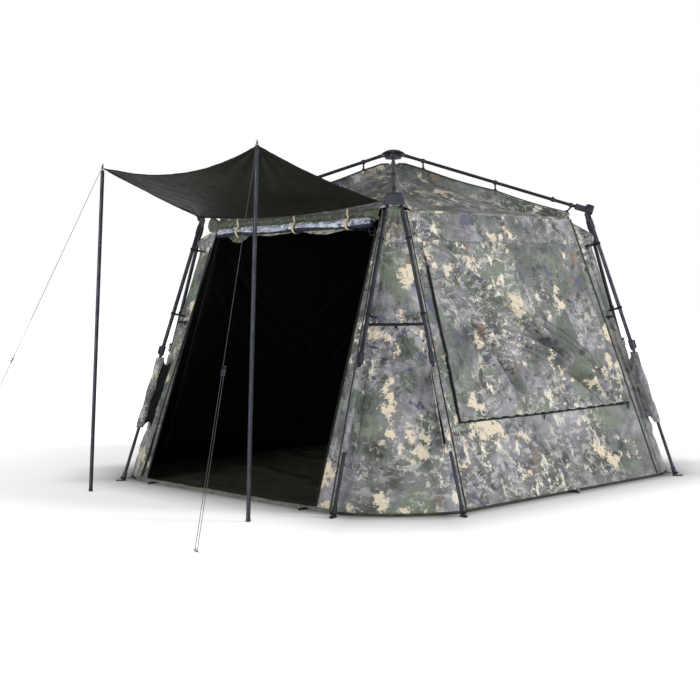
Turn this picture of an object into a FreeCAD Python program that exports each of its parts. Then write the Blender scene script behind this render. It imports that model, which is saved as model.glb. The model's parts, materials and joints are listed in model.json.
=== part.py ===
"""Quick-erect shelter with an outside frame: four roof arms, eight telescopic legs, a hung fabric
body with a rolled-up door, and a porch sheet on two poles held by guy lines.

Millimetres. The origin is on the ground under the hub, +Z up. The door faces -Y.
Corners are built in a local frame, radial = +X and tangential = +Y, and then turned into place.
"""
import FreeCAD, Part
import math
import os

from FreeCAD import Vector

# ---- driving dimensions -------------------------------------------------------------------
HUB_RADIUS = 70.0           # roof arm pivots, from the centre line
HUB_Z = 2195.0              # height of those pivots
ARM_SLOPE = 17.5            # degrees that an arm falls below level
ARM_LENGTH = 1300.0         # pivot to elbow centre
ARM_R = 11.0
LEG_PIVOT = (1335.0, 42.0, 1765.0)      # radial, tangential, height
FOOT_POINT = (1855.5, 362.0, 0.0)
UPPER_R = 12.5
LOWER_R = 10.5
WALL_T = 1.5                # wall of every tube
BASE_HALF = 1500.0          # wall foot, from the centre line
BASE_CORNER = 950.0         # where a wall ends and its corner panel starts, at the ground
EAVE_HALF = 900.0           # the same two at the eave
EAVE_CORNER = 800.0
EAVE_Z = 1740.0
APEX_Z = 2135.0
CLOTH = 3.0                 # thickness of the fabric stand-ins
GAP = 3.0                   # kept between neighbouring fabric panels
POLE_TOP = (783.0, -1846.0, 2062.0)
POLE_FOOT = (807.0, -1973.0, 0.0)
POLE_R = 12.0
GUY_PEG = (1305.0, -2690.0, 14.0)
GUY_R = 1.5
GUY_LOOP_R = 6.0            # bend of the line round its peg
SLIDER_SHARE = 0.42         # how far up the line the slider sits

# corner name and the direction it points in, in degrees from +X
CORNERS = {"front_right": -45.0, "back_right": 45.0, "back_left": 135.0, "front_left": -135.0}

os.makedirs("parts", exist_ok=True)


# ---- helpers ------------------------------------------------------------------------------
def unit(v):
    return v * (1.0 / v.Length)


def rod(start, end, radius, bore=0.0):
    """A round bar between two points, or a tube where it has a bore."""
    run = end - start
    bar = Part.makeCylinder(radius, run.Length, start, run)
    if bore:
        bar = bar.cut(Part.makeCylinder(bore, run.Length, start, run))
    return bar


def block(origin, along, across, size):
    """A box centred on origin; size is along, across and along their normal."""
    x = unit(along)
    z = unit(x.cross(across))
    y = z.cross(x)
    box = Part.makeBox(*size, Vector(-size[0] / 2, -size[1] / 2, -size[2] / 2))
    box.Placement = FreeCAD.Placement(origin, FreeCAD.Rotation(x, y, z, "XYZ"))
    return box


def slab(points, thickness, inward):
    """A flat panel of fabric: the polygon, thickened towards inward."""
    ring = [Vector(*p) for p in points]
    face = Part.Face(Part.makePolygon(ring + ring[:1]))
    normal = unit((ring[1] - ring[0]).cross(ring[2] - ring[0]))
    side = 1.0 if normal.dot(inward) > 0 else -1.0
    return face.extrude(normal * (side * thickness))


def turned(shape, degrees):
    out = shape.copy()
    out.rotate(Vector(0, 0, 0), Vector(0, 0, 1), degrees)
    return out


def save(name, solids):
    solids = solids if isinstance(solids, list) else [solids]
    shape = solids[0] if len(solids) == 1 else Part.makeCompound(solids)
    for solid in shape.Solids:
        assert solid.isValid() and solid.Volume > 0, name
    shape.exportStep(f"parts/{name}.step")


# ---- lines that the frame is built on, in the local corner frame ----------------------------
slope = math.radians(ARM_SLOPE)
ARM_OUT = Vector(math.cos(slope), 0, -math.sin(slope))
ARM_UP = Vector(math.sin(slope), 0, math.cos(slope))
TANGENT = Vector(0, 1, 0)
HUB_PIVOT = Vector(HUB_RADIUS, 0, HUB_Z)
ELBOW = HUB_PIVOT + ARM_OUT * ARM_LENGTH


def leg_lines(side):
    """Pivot, foot point, direction down the leg and fold axis; side is -1 or +1."""
    pivot = Vector(LEG_PIVOT[0], side * LEG_PIVOT[1], LEG_PIVOT[2])
    foot = Vector(FOOT_POINT[0], side * FOOT_POINT[1], FOOT_POINT[2])
    down = unit(foot - pivot)
    axis = unit(down.cross(ARM_OUT * -1))
    return pivot, foot, down, axis


# ---- hub: core with eight ears, cap, pins and the stem that the roof hangs from -------------
PIN_R = 4.0
PIN_CLEARANCE = 0.05
TONGUE = 10.0               # thickness of every pivot tongue
EAR = 6.0                   # thickness of every ear beside it
EAR_GAP = 0.5               # side clearance of a tongue in its ears
EAR_R = 13.0
CORE_R = 38.0
SKIRT_R = 56.0              # rim under the ears

ear_offset = TONGUE / 2 + EAR_GAP + EAR / 2
core = Part.makeCylinder(CORE_R, 25 + EAR_R, Vector(0, 0, HUB_Z - 25))
core = core.fuse(Part.makeCylinder(SKIRT_R, 10, Vector(0, 0, HUB_Z - 25)))
pins = []
for angle in CORNERS.values():
    for side in (-1, 1):
        middle = Vector((HUB_RADIUS + CORE_R - 8) / 2, side * ear_offset, HUB_Z)
        plate = block(middle, Vector(1, 0, 0), TANGENT, (HUB_RADIUS - CORE_R + 8, EAR, 2 * EAR_R))
        start = Vector(HUB_RADIUS, side * ear_offset - EAR / 2, HUB_Z)
        plate = plate.fuse(Part.makeCylinder(EAR_R, EAR, start, TANGENT))
        plate = plate.cut(Part.makeCylinder(PIN_R, EAR, start, TANGENT))
        core = core.fuse(turned(plate, angle))
    half = ear_offset + EAR / 2
    pins.append(turned(Part.makeCylinder(PIN_R, 2 * half, HUB_PIVOT - TANGENT * half, TANGENT), angle))
save("hub_body", core)
save("hub_pins", pins)

# The cap is a shallow dome over the ears, slotted where the folded arms stand up through it.
CAP_Z = HUB_Z + EAR_R
CAP_R = 80.0
CAP_RISE = 26.0
SLOT_START = 52.0
SLOT_W = 27.0
ball_r = (CAP_R ** 2 + CAP_RISE ** 2) / (2 * CAP_RISE)
cap = Part.makeSphere(ball_r, Vector(0, 0, CAP_Z + CAP_RISE - ball_r))
cap = cap.common(Part.makeCylinder(CAP_R, CAP_RISE, Vector(0, 0, CAP_Z)))
for angle in CORNERS.values():
    slot = Part.makeBox(CAP_R, SLOT_W, CAP_RISE, Vector(SLOT_START, -SLOT_W / 2, CAP_Z))
    cap = cap.cut(turned(slot, angle))
save("hub_cap", cap)
stem = Part.makeCylinder(9, HUB_Z - 25 - APEX_Z - 12, Vector(0, 0, APEX_Z + 12))
save("hub_stem", stem.fuse(Part.makeCylinder(16, 8, Vector(0, 0, APEX_Z + 4))))


# ---- roof arms and elbows -------------------------------------------------------------------
TONGUE_R = 12.0
arm_bore = ARM_R - WALL_T
tongue = block(HUB_PIVOT + ARM_OUT * 18, ARM_OUT, TANGENT, (36, TONGUE, 2 * TONGUE_R))
tongue = tongue.fuse(Part.makeCylinder(TONGUE_R, TONGUE, HUB_PIVOT - TANGENT * (TONGUE / 2), TANGENT))
tongue = tongue.cut(Part.makeCylinder(PIN_R + PIN_CLEARANCE, TONGUE, HUB_PIVOT - TANGENT * (TONGUE / 2), TANGENT))
tongue = tongue.fuse(rod(HUB_PIVOT + ARM_OUT * 36, HUB_PIVOT + ARM_OUT * 70, arm_bore))
arm_tube = rod(HUB_PIVOT + ARM_OUT * 36, ELBOW - ARM_OUT * 5, ARM_R, arm_bore)

BLOCK_W = 34.0
HOOD_FROM, HOOD_TO = -22.0, 23.0        # hood over the leg pivots, along the arm from them
SKIRT_FROM = 17.0                       # its front skirt hangs down outside the legs
HOOD_HALF, CROWN_HALF = 62.0, 44.0


def arm_prism(outline, start, end):
    """A prism along the arm: outline is (tangential, rise) above the line through the leg pivots."""
    base = Vector(LEG_PIVOT[0], 0, LEG_PIVOT[2]) + ARM_OUT * start
    ring = [base + TANGENT * t + ARM_UP * w for t, w in outline]
    return Part.Face(Part.makePolygon(ring + ring[:1])).extrude(ARM_OUT * (end - start))


elbow = block(ELBOW - ARM_OUT * 15, ARM_OUT, TANGENT, (90, BLOCK_W, 40))
hood = arm_prism([(-HOOD_HALF, 18), (HOOD_HALF, 18), (HOOD_HALF, 30), (CROWN_HALF, 66), (-CROWN_HALF, 66),
                  (-HOOD_HALF, 30)], HOOD_FROM, HOOD_TO)
skirt = arm_prism([(-HOOD_HALF - 3, 2), (HOOD_HALF + 3, 2), (HOOD_HALF, 19), (-HOOD_HALF, 19)], SKIRT_FROM, HOOD_TO)
elbow = elbow.fuse(hood).fuse(skirt)
elbow = elbow.cut(rod(ELBOW - ARM_OUT * 60, ELBOW - ARM_OUT * 5, ARM_R))
elbow_pins = []
BRIDGE_RISE = 24.0          # centre of the bridge, above the leg pivot
for side in (-1, 1):
    pivot, foot, down, axis = leg_lines(side)
    rise = unit(axis.cross(ARM_OUT)) * (1.0 if axis.cross(ARM_OUT).dot(ARM_UP) > 0 else -1.0)
    span = 2 * (ear_offset + EAR / 2)
    bridge = block(pivot + rise * BRIDGE_RISE - axis * (side * 8), ARM_OUT, axis, (2 * EAR_R, span + 16, 12))
    elbow = elbow.fuse(bridge)
    for ear_side in (-1, 1):
        centre = pivot + axis * (ear_side * ear_offset)
        ear = block(centre + rise * (BRIDGE_RISE / 2), ARM_OUT, axis, (2 * EAR_R, EAR, BRIDGE_RISE))
        ear = ear.fuse(Part.makeCylinder(EAR_R, EAR, centre - axis * (EAR / 2), axis))
        ear = ear.cut(Part.makeCylinder(PIN_R, EAR, centre - axis * (EAR / 2), axis))
        elbow = elbow.fuse(ear)
    elbow_pins.append(Part.makeCylinder(PIN_R, span, pivot - axis * (span / 2), axis))

for corner, angle in CORNERS.items():
    save(f"roof_arm_{corner}", [turned(tongue, angle), turned(arm_tube, angle)])
    save(f"elbow_{corner}", [turned(elbow, angle)] + [turned(pin, angle) for pin in elbow_pins])


# ---- legs: top socket, upper tube, lock collar, lever, lower tube and foot --------------------
SOCKET_START, SOCKET_END = 42.0, 105.0
UPPER_START, UPPER_END = 62.0, 950.0
COLLAR_START, COLLAR_END = 915.0, 980.0
COLLAR_R = 18.0
LOWER_START = 880.0
SLIDE_CLEARANCE = 0.3
LEVER_AT = 925.0            # lever pivot, down the leg
LEVER_OFF = 23.0            # and out from its centre line
LEVER_PIN_R = 2.0
LEVER_LONG = 52.0
FOOT_PLATE = 6.0
EYE_R = 5.0
EYE_OUT = 36.0              # peg eye, out from the foot point

for corner, angle in CORNERS.items():
    for number, side in ((1, -1), (2, 1)):
        pivot, foot, down, axis = leg_lines(side)
        length = (foot - pivot).Length

        top = block(pivot + down * 23, down, axis, (46, TONGUE, 2 * TONGUE_R))
        top = top.fuse(Part.makeCylinder(TONGUE_R, TONGUE, pivot - axis * (TONGUE / 2), axis))
        pin_hole = Part.makeCylinder(PIN_R + PIN_CLEARANCE, TONGUE, pivot - axis * (TONGUE / 2), axis)
        top = top.cut(pin_hole)
        top = top.fuse(rod(pivot + down * SOCKET_START, pivot + down * SOCKET_END, 16))
        top = top.cut(rod(pivot + down * UPPER_START, pivot + down * SOCKET_END, UPPER_R))
        tube = rod(pivot + down * UPPER_START, pivot + down * UPPER_END, UPPER_R, UPPER_R - WALL_T)

        collar = rod(pivot + down * COLLAR_START, pivot + down * COLLAR_END, COLLAR_R)
        collar = collar.cut(rod(pivot + down * COLLAR_START, pivot + down * UPPER_END, UPPER_R))
        collar = collar.cut(rod(pivot + down * COLLAR_START, pivot + down * COLLAR_END,
                                LOWER_R + SLIDE_CLEARANCE))
        outward = unit(axis.cross(down)) * (1.0 if axis.cross(down).x > 0 else -1.0)
        hinge = pivot + down * LEVER_AT + outward * LEVER_OFF
        for ear_side in (-1, 1):
            centre = hinge + axis * (ear_side * 8.5) - outward * 4
            lug = block(centre, down, axis, (9, 3, 16))
            start = hinge - axis * 12
            collar = collar.fuse(lug.cut(Part.makeCylinder(LEVER_PIN_R + PIN_CLEARANCE, 24, start, axis)))
        save(f"upper_leg_{corner}_{number}", [turned(s, angle) for s in (top, tube, collar)])

        lever = block(hinge + down * (LEVER_LONG / 2 - 3), down, axis, (LEVER_LONG, 13, 6))
        lever = lever.fuse(Part.makeCylinder(LEVER_PIN_R, 20, hinge - axis * 10, axis))
        save(f"lock_lever_{corner}_{number}", turned(lever, angle))

        shaft_end = pivot + down * (length - 24)
        shaft = rod(pivot + down * LOWER_START, shaft_end, LOWER_R, LOWER_R - WALL_T)
        boot = rod(pivot + down * (length - 60), foot + down * 10, 14.5)
        boot = boot.cut(rod(pivot + down * (length - 60), shaft_end, LOWER_R))
        boot = boot.common(Part.makeBox(400, 1200, 200, Vector(1700, -600, 0)))
        out = unit(Vector(foot.x, foot.y, 0))
        plate = Part.makeCylinder(22, FOOT_PLATE, Vector(foot.x, foot.y, 0))
        tab = block(Vector(foot.x, foot.y, FOOT_PLATE / 2) + out * (EYE_OUT / 2), out, Vector(0, 0, 1).cross(out),
                    (EYE_OUT, 22, FOOT_PLATE))
        eye = Vector(foot.x, foot.y, 0) + out * EYE_OUT
        plate = plate.fuse(tab).fuse(Part.makeCylinder(11, FOOT_PLATE, eye))
        plate = plate.cut(Part.makeCylinder(EYE_R, FOOT_PLATE, eye))
        save(f"lower_leg_{corner}_{number}", [turned(shaft, angle), turned(boot.fuse(plate), angle)])


# ---- fabric body ------------------------------------------------------------------------------
def wall_half(z, base, eave):
    """Half size of the body at a height, between its base and eave values."""
    return base + (eave - base) * z / EAVE_Z


def wall_quad(z_low, z_high, u_low, u_high, out=0.0):
    """A strip of the -Y wall between two heights; u runs along +X as a share of the half width."""
    points = []
    for z, u in ((z_low, u_low), (z_low, u_high), (z_high, u_high), (z_high, u_low)):
        reach = wall_half(z, BASE_HALF, EAVE_HALF) + out
        points.append((u * (wall_half(z, BASE_CORNER, EAVE_CORNER) - GAP), -reach, z))
    return points


INWARD = Vector(0, 1, -0.3)
wall = slab(wall_quad(3, EAVE_Z - GAP, -1, 1), CLOTH, INWARD)
for name, angle in (("wall_right", 90), ("wall_back", 180), ("wall_left", -90)):
    save(name, turned(wall, angle))

DOOR_SIDE = 0.955           # share of the half width where the doorway's side strips start
DOOR_HEAD = 1705.0
DOOR_SILL = 28.0
front = [slab(wall_quad(DOOR_SILL + 3, DOOR_HEAD - 3, DOOR_SIDE, 1), CLOTH, INWARD),
         slab(wall_quad(DOOR_SILL + 3, DOOR_HEAD - 3, -1, -DOOR_SIDE), CLOTH, INWARD),
         slab(wall_quad(DOOR_HEAD, EAVE_Z - GAP, -1, 1), CLOTH, INWARD),
         slab(wall_quad(3, DOOR_SILL, -1, 1), CLOTH, INWARD)]
save("wall_front", front)


def corner_edge(z):
    """The two ends of the front-right corner panel at a height."""
    half, cut = wall_half(z, BASE_HALF, EAVE_HALF), wall_half(z, BASE_CORNER, EAVE_CORNER)
    return (cut + 1, -half, z), (half, -cut - 1, z)


low, high = corner_edge(3.0), corner_edge(EAVE_Z - GAP)
corner_panel = slab([low[0], low[1], high[1], high[0]], CLOTH, Vector(-1, 1, 0))
save("corner_panels", [turned(corner_panel, 90 * n) for n in range(4)])

apex = (0, 0, APEX_Z)
gore = slab([(EAVE_HALF, -EAVE_CORNER, EAVE_Z), (EAVE_HALF, EAVE_CORNER, EAVE_Z), apex], CLOTH, Vector(0, 0, -1))
ridge = slab([(EAVE_CORNER, -EAVE_HALF, EAVE_Z), (EAVE_HALF, -EAVE_CORNER, EAVE_Z), apex], CLOTH, Vector(0, 0, -1))
trim_top = Part.makeCylinder(25, 40, Vector(0, 0, APEX_Z - 30))
save("roof", [turned(s.cut(trim_top), 90 * n) for n in range(4) for s in (gore, ridge)])

INSET = 14.0
base = [(s * (BASE_HALF - INSET) if swap else s * (BASE_CORNER - INSET),
         t * (BASE_CORNER - INSET) if swap else t * (BASE_HALF - INSET), 0)
        for s, t, swap in ((1, -1, False), (1, -1, True), (1, 1, True), (1, 1, False),
                           (-1, 1, False), (-1, 1, True), (-1, -1, True), (-1, -1, False))]
save("groundsheet", slab(base, 2.0, Vector(0, 0, 1)))

FLAP_LOW, FLAP_HIGH = 490.0, 1560.0
FLAP_SIDE = 0.9
flap = slab(wall_quad(FLAP_LOW, FLAP_HIGH, -FLAP_SIDE, FLAP_SIDE, out=CLOTH + 2), CLOTH, INWARD)
save("window_flaps", [turned(flap, angle) for angle in (90, 180, -90)])

ROLL_R = 32.0
ROLL_Y = -950.0
ROLL_Z = 1662.0
ROLL_HALF = 765.0
save("door_roll", rod(Vector(-ROLL_HALF, ROLL_Y, ROLL_Z), Vector(ROLL_HALF, ROLL_Y, ROLL_Z), ROLL_R))
TIES = (-520.0, 60.0, 560.0)
tie = rod(Vector(-9, ROLL_Y, ROLL_Z), Vector(9, ROLL_Y, ROLL_Z), ROLL_R + 4, ROLL_R + 0.3)
ties = []
for x in TIES:
    ties.append(tie.translated(Vector(x, 0, 0)))
save("door_ties", ties)

# A web of fabric laces each leg to the edge of its corner panel over the middle of the leg.
WEB_FROM, WEB_TO = 0.545, 0.795
webs = []
for angle in CORNERS.values():
    for side in (-1, 1):
        pivot, foot, down, axis = leg_lines(side)
        length = (foot - pivot).Length
        leg = [pivot + down * (length * share) for share in (WEB_FROM, WEB_TO)]
        edge = []
        for point in leg:
            half, cut = wall_half(point.z, BASE_HALF, EAVE_HALF), wall_half(point.z, BASE_CORNER, EAVE_CORNER)
            radial, tangential = (half + cut) / math.sqrt(2), (half - cut) / math.sqrt(2)
            edge.append(Vector(radial + 6, side * tangential, point.z))
        pulled = [p + unit(e - p) * 23 for p, e in zip(leg, edge)]
        skin = Part.makeRuledSurface(Part.makeLine(*pulled), Part.makeLine(*edge))
        webs.append(turned(skin.extrude(Vector(0, CLOTH, 0)), angle))
save("leg_webs", webs)


# ---- zip sliders: they run along the straight zips ----------------------------------------------
ZIP_OUT = 2 * CLOTH + 4
flap_reach = wall_half(FLAP_LOW, BASE_HALF, EAVE_HALF) + ZIP_OUT + 3
slider = block(Vector(flap_reach, 800, FLAP_LOW), Vector(0, 1, 0), Vector(1, 0, 0), (26, 5, 14))
save("window_zip_slider", slider)
VENT_Z = 1060.0
vent = corner_edge(VENT_Z)
vent_run = unit(Vector(*vent[1]) - Vector(*vent[0]))
vent_start = Vector(*vent[0]) + vent_run * 30 + Vector(1, -1, 0) * 5
save("vent_zip_slider", block(vent_start, vent_run, Vector(1, -1, 0), (26, 5, 14)))


# ---- porch sheet, its poles and guy lines -----------------------------------------------------
BACK_HALF, BACK_Y, BACK_Z, BACK_DIP = 890.0, -1010.0, 1790.0, 22.0
FRONT_DIP = 92.0
FRONT_Y = POLE_TOP[1]


def dipped(half, y, z, dip, bow=0.0):
    """An edge of the sheet: an arc through its two corners that dips in the middle."""
    return Part.Arc(Vector(-half, y, z), Vector(0, y + bow, z - dip), Vector(half, y, z)).toShape()


sheet = Part.makeRuledSurface(dipped(BACK_HALF, BACK_Y, BACK_Z, BACK_DIP),
                              dipped(POLE_TOP[0], FRONT_Y, POLE_TOP[2], FRONT_DIP, bow=40))
canopy = sheet.extrude(Vector(0, 0, CLOTH))
TIP_R = 3.0
GUY_START = 13.0            # the line's tube starts this far from the spike; its knot fills the gap
for side in (-1, 1):
    tip = Vector(side * POLE_TOP[0], POLE_TOP[1], POLE_TOP[2])
    canopy = canopy.cut(Part.makeCylinder(TIP_R + 2.5, 60, tip - Vector(0, 0, 30)))
save("porch_sheet", canopy)

for name, side in (("left", -1), ("right", 1)):
    tip = Vector(side * POLE_TOP[0], POLE_TOP[1], POLE_TOP[2] - 8)
    ground = Vector(side * POLE_FOOT[0], POLE_FOOT[1], 0)
    lean = unit(ground - tip)
    run = (ground - tip).Length
    pole = []
    for third in range(3):
        start = tip + lean * (run * third / 3 + (8 if third == 0 else 1))
        end = tip + lean * (run * (third + 1) / 3 - (16 if third == 2 else 1))
        pole.append(rod(start, end, POLE_R))
        if third < 2:
            joint = tip + lean * (run * (third + 1) / 3)
            pole.append(rod(joint - lean, joint + lean, POLE_R + 1))
    spike = rod(tip - lean * 42, tip + lean * 8, TIP_R)
    shoulder = rod(tip + lean * 2, tip + lean * 8, POLE_R - 3)
    pole.append(spike.fuse(shoulder))
    cap = rod(ground - lean * 16, ground + lean * 20, POLE_R + 2)
    pole.append(cap.common(Part.makeBox(3000, 1000, 60, Vector(-1500, -2500, 0))))
    save(f"porch_pole_{name}", pole)

    # The line runs from the spike to the peg, round it, and back up to the slider.
    hook = Vector(side * GUY_PEG[0], GUY_PEG[1], GUY_PEG[2])
    top = tip - lean * 26
    line = unit(top - hook)
    level = unit(Vector(0, 0, 1).cross(line))
    low_a, low_b = hook + level * GUY_LOOP_R, hook - level * GUY_LOOP_R
    start = top + unit(hook - top) * GUY_START
    line_a = unit(start - low_a)
    back_end = low_b + line_a * ((start - low_a).Length * SLIDER_SHARE)
    bottom = hook - line * GUY_LOOP_R
    first = Part.makeLine(start, low_a)
    bend = Part.Arc(low_a, bottom, low_b).toShape()
    last = Part.makeLine(low_b, back_end)
    path = Part.Wire([first, bend, last])
    section = Part.Wire([Part.makeCircle(GUY_R, start, line_a)])
    cord = path.makePipeShell([section], True, False)
    save(f"guy_line_{name}", cord)
    print(name, "guy line", round(path.Length), "bend radius", GUY_LOOP_R,
          "volume over section x length", round(cord.Volume / (math.pi * GUY_R ** 2 * path.Length), 4))

    middle = (low_a + low_b) * 0.5 + line_a * ((start - low_a).Length * SLIDER_SHARE - 30)
    runner = block(middle, line_a, level, (34, 22, 8))
    for sign in (-1, 1):
        hole = middle + level * (sign * GUY_LOOP_R)
        runner = runner.cut(rod(hole - line_a * 30, hole + line_a * 30, GUY_R + 0.4))
    save(f"guy_slider_{name}", runner)

    sideways = unit(line.cross(level))
    sideways = sideways * (1.0 if sideways.z > 0 else -1.0)
    shank_low = hook - sideways * (hook.z / sideways.z)
    peg = rod(shank_low - sideways * 10, hook + sideways * 10, 3.6)
    peg = peg.fuse(Part.makeSphere(7, hook + sideways * 14))
    peg = peg.common(Part.makeBox(4000, 1400, 80, Vector(-2000, -3300, 0)))
    save(f"guy_peg_{name}", peg)

# Wall pegs stand in loops at the middle of each wall.
PEG_OUT = 62.0
pegs = []
for angle in (0, 90, 180, -90):
    if angle:
        shank = Part.makeCylinder(3, 26, Vector(0, -BASE_HALF - PEG_OUT, 0))
        pegs.append(turned(shank.fuse(Part.makeSphere(6.5, Vector(0, -BASE_HALF - PEG_OUT, 28))), angle))
for side in (-1, 1):
    shank = Part.makeCylinder(3, 26, Vector(side * 760, -BASE_HALF - PEG_OUT, 0))
    pegs.append(shank.fuse(Part.makeSphere(6.5, Vector(side * 760, -BASE_HALF - PEG_OUT, 28))))
save("wall_pegs", pegs)
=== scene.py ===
"""A quick-erect shelter: outside folding frame, hung fabric body with the door rolled up, porch sheet
on guyed poles. Metres, Z up, in the frame's own axes. The door faces -Y."""
import json
import math

import bmesh
import bpy
from mathutils import Matrix, Vector, noise


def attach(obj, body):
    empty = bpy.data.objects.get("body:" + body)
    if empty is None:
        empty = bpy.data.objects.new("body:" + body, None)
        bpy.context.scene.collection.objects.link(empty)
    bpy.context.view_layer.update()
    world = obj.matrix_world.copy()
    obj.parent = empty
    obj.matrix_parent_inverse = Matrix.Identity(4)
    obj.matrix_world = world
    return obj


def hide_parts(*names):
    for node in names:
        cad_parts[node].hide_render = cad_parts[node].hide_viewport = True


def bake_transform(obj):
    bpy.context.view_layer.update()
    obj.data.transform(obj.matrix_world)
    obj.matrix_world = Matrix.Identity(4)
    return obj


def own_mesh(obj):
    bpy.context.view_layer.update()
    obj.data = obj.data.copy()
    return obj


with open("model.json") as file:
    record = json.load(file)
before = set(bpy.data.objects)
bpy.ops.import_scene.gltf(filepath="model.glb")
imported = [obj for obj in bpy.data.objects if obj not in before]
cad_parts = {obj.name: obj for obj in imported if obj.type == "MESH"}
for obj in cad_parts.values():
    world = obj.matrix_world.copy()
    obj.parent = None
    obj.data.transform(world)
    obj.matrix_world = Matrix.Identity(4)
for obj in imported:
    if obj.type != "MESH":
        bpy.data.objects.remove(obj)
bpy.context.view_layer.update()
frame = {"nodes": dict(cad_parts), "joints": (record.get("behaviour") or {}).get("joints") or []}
joints = {j["name"]: j for j in frame["joints"]}

# ---- studio ---------------------------------------------------------------------------------
# A pale floor, a dim sky and three broad sun lights, and the camera at the front right corner.
scene = bpy.context.scene
scene.view_settings.view_transform = "Standard"
scene.view_settings.look = "None"


def srgb(code):
    """The linear colour, with alpha, of an sRGB hex code."""
    parts = [int(code[i:i + 2], 16) / 255 for i in (1, 3, 5)]
    return tuple(p / 12.92 if p <= 0.04045 else ((p + 0.055) / 1.055) ** 2.4 for p in parts) + (1.0,)


def add(tree, kind, inputs=None, **settings):
    """One shader node. inputs maps a socket name or number to a value or to another node's output."""
    made = tree.nodes.new("ShaderNode" + kind)
    for key, value in settings.items():
        setattr(made, key, value)
    for key, value in (inputs or {}).items():
        if isinstance(value, bpy.types.NodeSocket):
            tree.links.new(value, made.inputs[key])
        else:
            made.inputs[key].default_value = value
    return made


def material(name):
    """A new material with its shader and output joined: the material, its tree and the shader."""
    made = bpy.data.materials.new(name)
    made.use_nodes = True
    tree = made.node_tree
    tree.nodes.clear()
    shader = add(tree, "BsdfPrincipled")
    add(tree, "OutputMaterial", {"Surface": shader.outputs["BSDF"]})
    return made, tree, shader


floor_mesh = bmesh.new()
bmesh.ops.create_grid(floor_mesh, x_segments=1, y_segments=1, size=60)
floor_data = bpy.data.meshes.new("studio_floor")
floor_mesh.to_mesh(floor_data)
floor_mesh.free()
studio_floor = bpy.data.objects.new("studio_floor", floor_data)
scene.collection.objects.link(studio_floor)
studio_floor.location.z = -0.002
pale, tree, shader = material("pale_studio_floor")
shader.inputs["Base Color"].default_value = srgb("#e8e8e8")
shader.inputs["Roughness"].default_value = 0.9
shader.inputs["Specular IOR Level"].default_value = 0.1
shader.inputs["Emission Color"].default_value = (1.0, 1.0, 1.0, 1.0)
# The floor brightens to plain white away from the object, so no horizon shows.
away = add(tree, "VectorMath", {0: add(tree, "TexCoord").outputs["Object"]}, operation="LENGTH").outputs["Value"]
glow = add(tree, "MapRange", {"Value": away, "From Min": 2.0, "From Max": 4.0, "To Min": 0.58, "To Max": 0.80},
           interpolation_type="SMOOTHSTEP").outputs["Result"]
# A soft contact shadow gathers round the eight-sided footprint.
side = add(tree, "VectorMath", {0: add(tree, "TexCoord").outputs["Object"]}, operation="ABSOLUTE").outputs[0]
split = add(tree, "SeparateXYZ", {"Vector": side})
wide = add(tree, "Math", {0: split.outputs["X"], 1: split.outputs["Y"]}, operation="MAXIMUM").outputs[0]
cut = add(tree, "Math", {0: split.outputs["X"], 1: split.outputs["Y"]}, operation="ADD").outputs[0]
cut = add(tree, "Math", {0: cut, 1: 0.57}, operation="MULTIPLY").outputs[0]
near = add(tree, "Math", {0: wide, 1: cut}, operation="MAXIMUM").outputs[0]
clear = add(tree, "MapRange", {"Value": near, "From Min": 1.40, "From Max": 2.00, "To Min": 0.1, "To Max": 1.0},
            interpolation_type="SMOOTHSTEP").outputs["Result"]
glow = add(tree, "Math", {0: glow, 1: clear}, operation="MULTIPLY").outputs[0]
tree.links.new(glow, shader.inputs["Emission Strength"])
edge = add(tree, "MapRange", {"Value": near, "From Min": 1.44, "From Max": 1.62, "To Min": 0.12, "To Max": 0.80},
           interpolation_type="SMOOTHSTEP").outputs["Result"]
tree.links.new(edge, shader.inputs["Base Color"])
floor_data.materials.append(pale)

world = bpy.data.worlds.new("studio")
scene.world = world
world.use_nodes = True
sky = world.node_tree
seen = add(sky, "LightPath").outputs["Is Camera Ray"]
upper = add(sky, "SeparateXYZ", {"Vector": add(sky, "TexCoord").outputs["Generated"]}).outputs["Z"]
dim = add(sky, "MapRange", {"Value": upper, "From Min": 0.0, "From Max": 0.8, "To Min": 0.46, "To Max": 0.20})
level = add(sky, "MapRange", {"Value": seen, "To Min": dim.outputs["Result"], "To Max": 1.0}).outputs["Result"]
sky.links.new(level, sky.nodes["Background"].inputs["Strength"])
sky.nodes["Background"].inputs["Color"].default_value = (1.0, 1.0, 1.0, 1.0)


def soft_sun(name, toward, strength, spread):
    """A broad, even light that comes from the direction toward."""
    light = bpy.data.lights.new(name, "SUN")
    light.energy = strength
    light.angle = math.radians(spread)
    made = bpy.data.objects.new(name, light)
    scene.collection.objects.link(made)
    made.rotation_euler = Vector(toward).to_track_quat("Z", "Y").to_euler()


soft_sun("key_light", (0.80, 0.60, 0.42), 1.8, 14)
soft_sun("fill_light", (0.20, -1.0, 0.05), 2.4, 35)
soft_sun("edge_light", (1.0, -0.12, 0.15), 0.35, 4)

CAMERA_PLACE = Vector((6.298, -6.323, 1.242))
CAMERA_FORWARD = Vector((-0.7298, 0.6823, -0.0440)).normalized()
CAMERA_RIGHT = Vector((0.6833, 0.7300, -0.0139)).normalized()
SENSOR = 36.0
FOCAL_SHARE = 1.8291        # focal length over the sensor's width
camera = bpy.data.cameras.new("camera")
camera.sensor_width = SENSOR
camera.lens = FOCAL_SHARE * SENSOR
camera_object = bpy.data.objects.new("camera", camera)
scene.collection.objects.link(camera_object)
upward = CAMERA_RIGHT.cross(CAMERA_FORWARD)
turn = Matrix((CAMERA_RIGHT, upward, -CAMERA_FORWARD)).transposed().to_4x4()
camera_object.matrix_world = Matrix.Translation(CAMERA_PLACE) @ turn
scene.camera = camera_object


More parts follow.
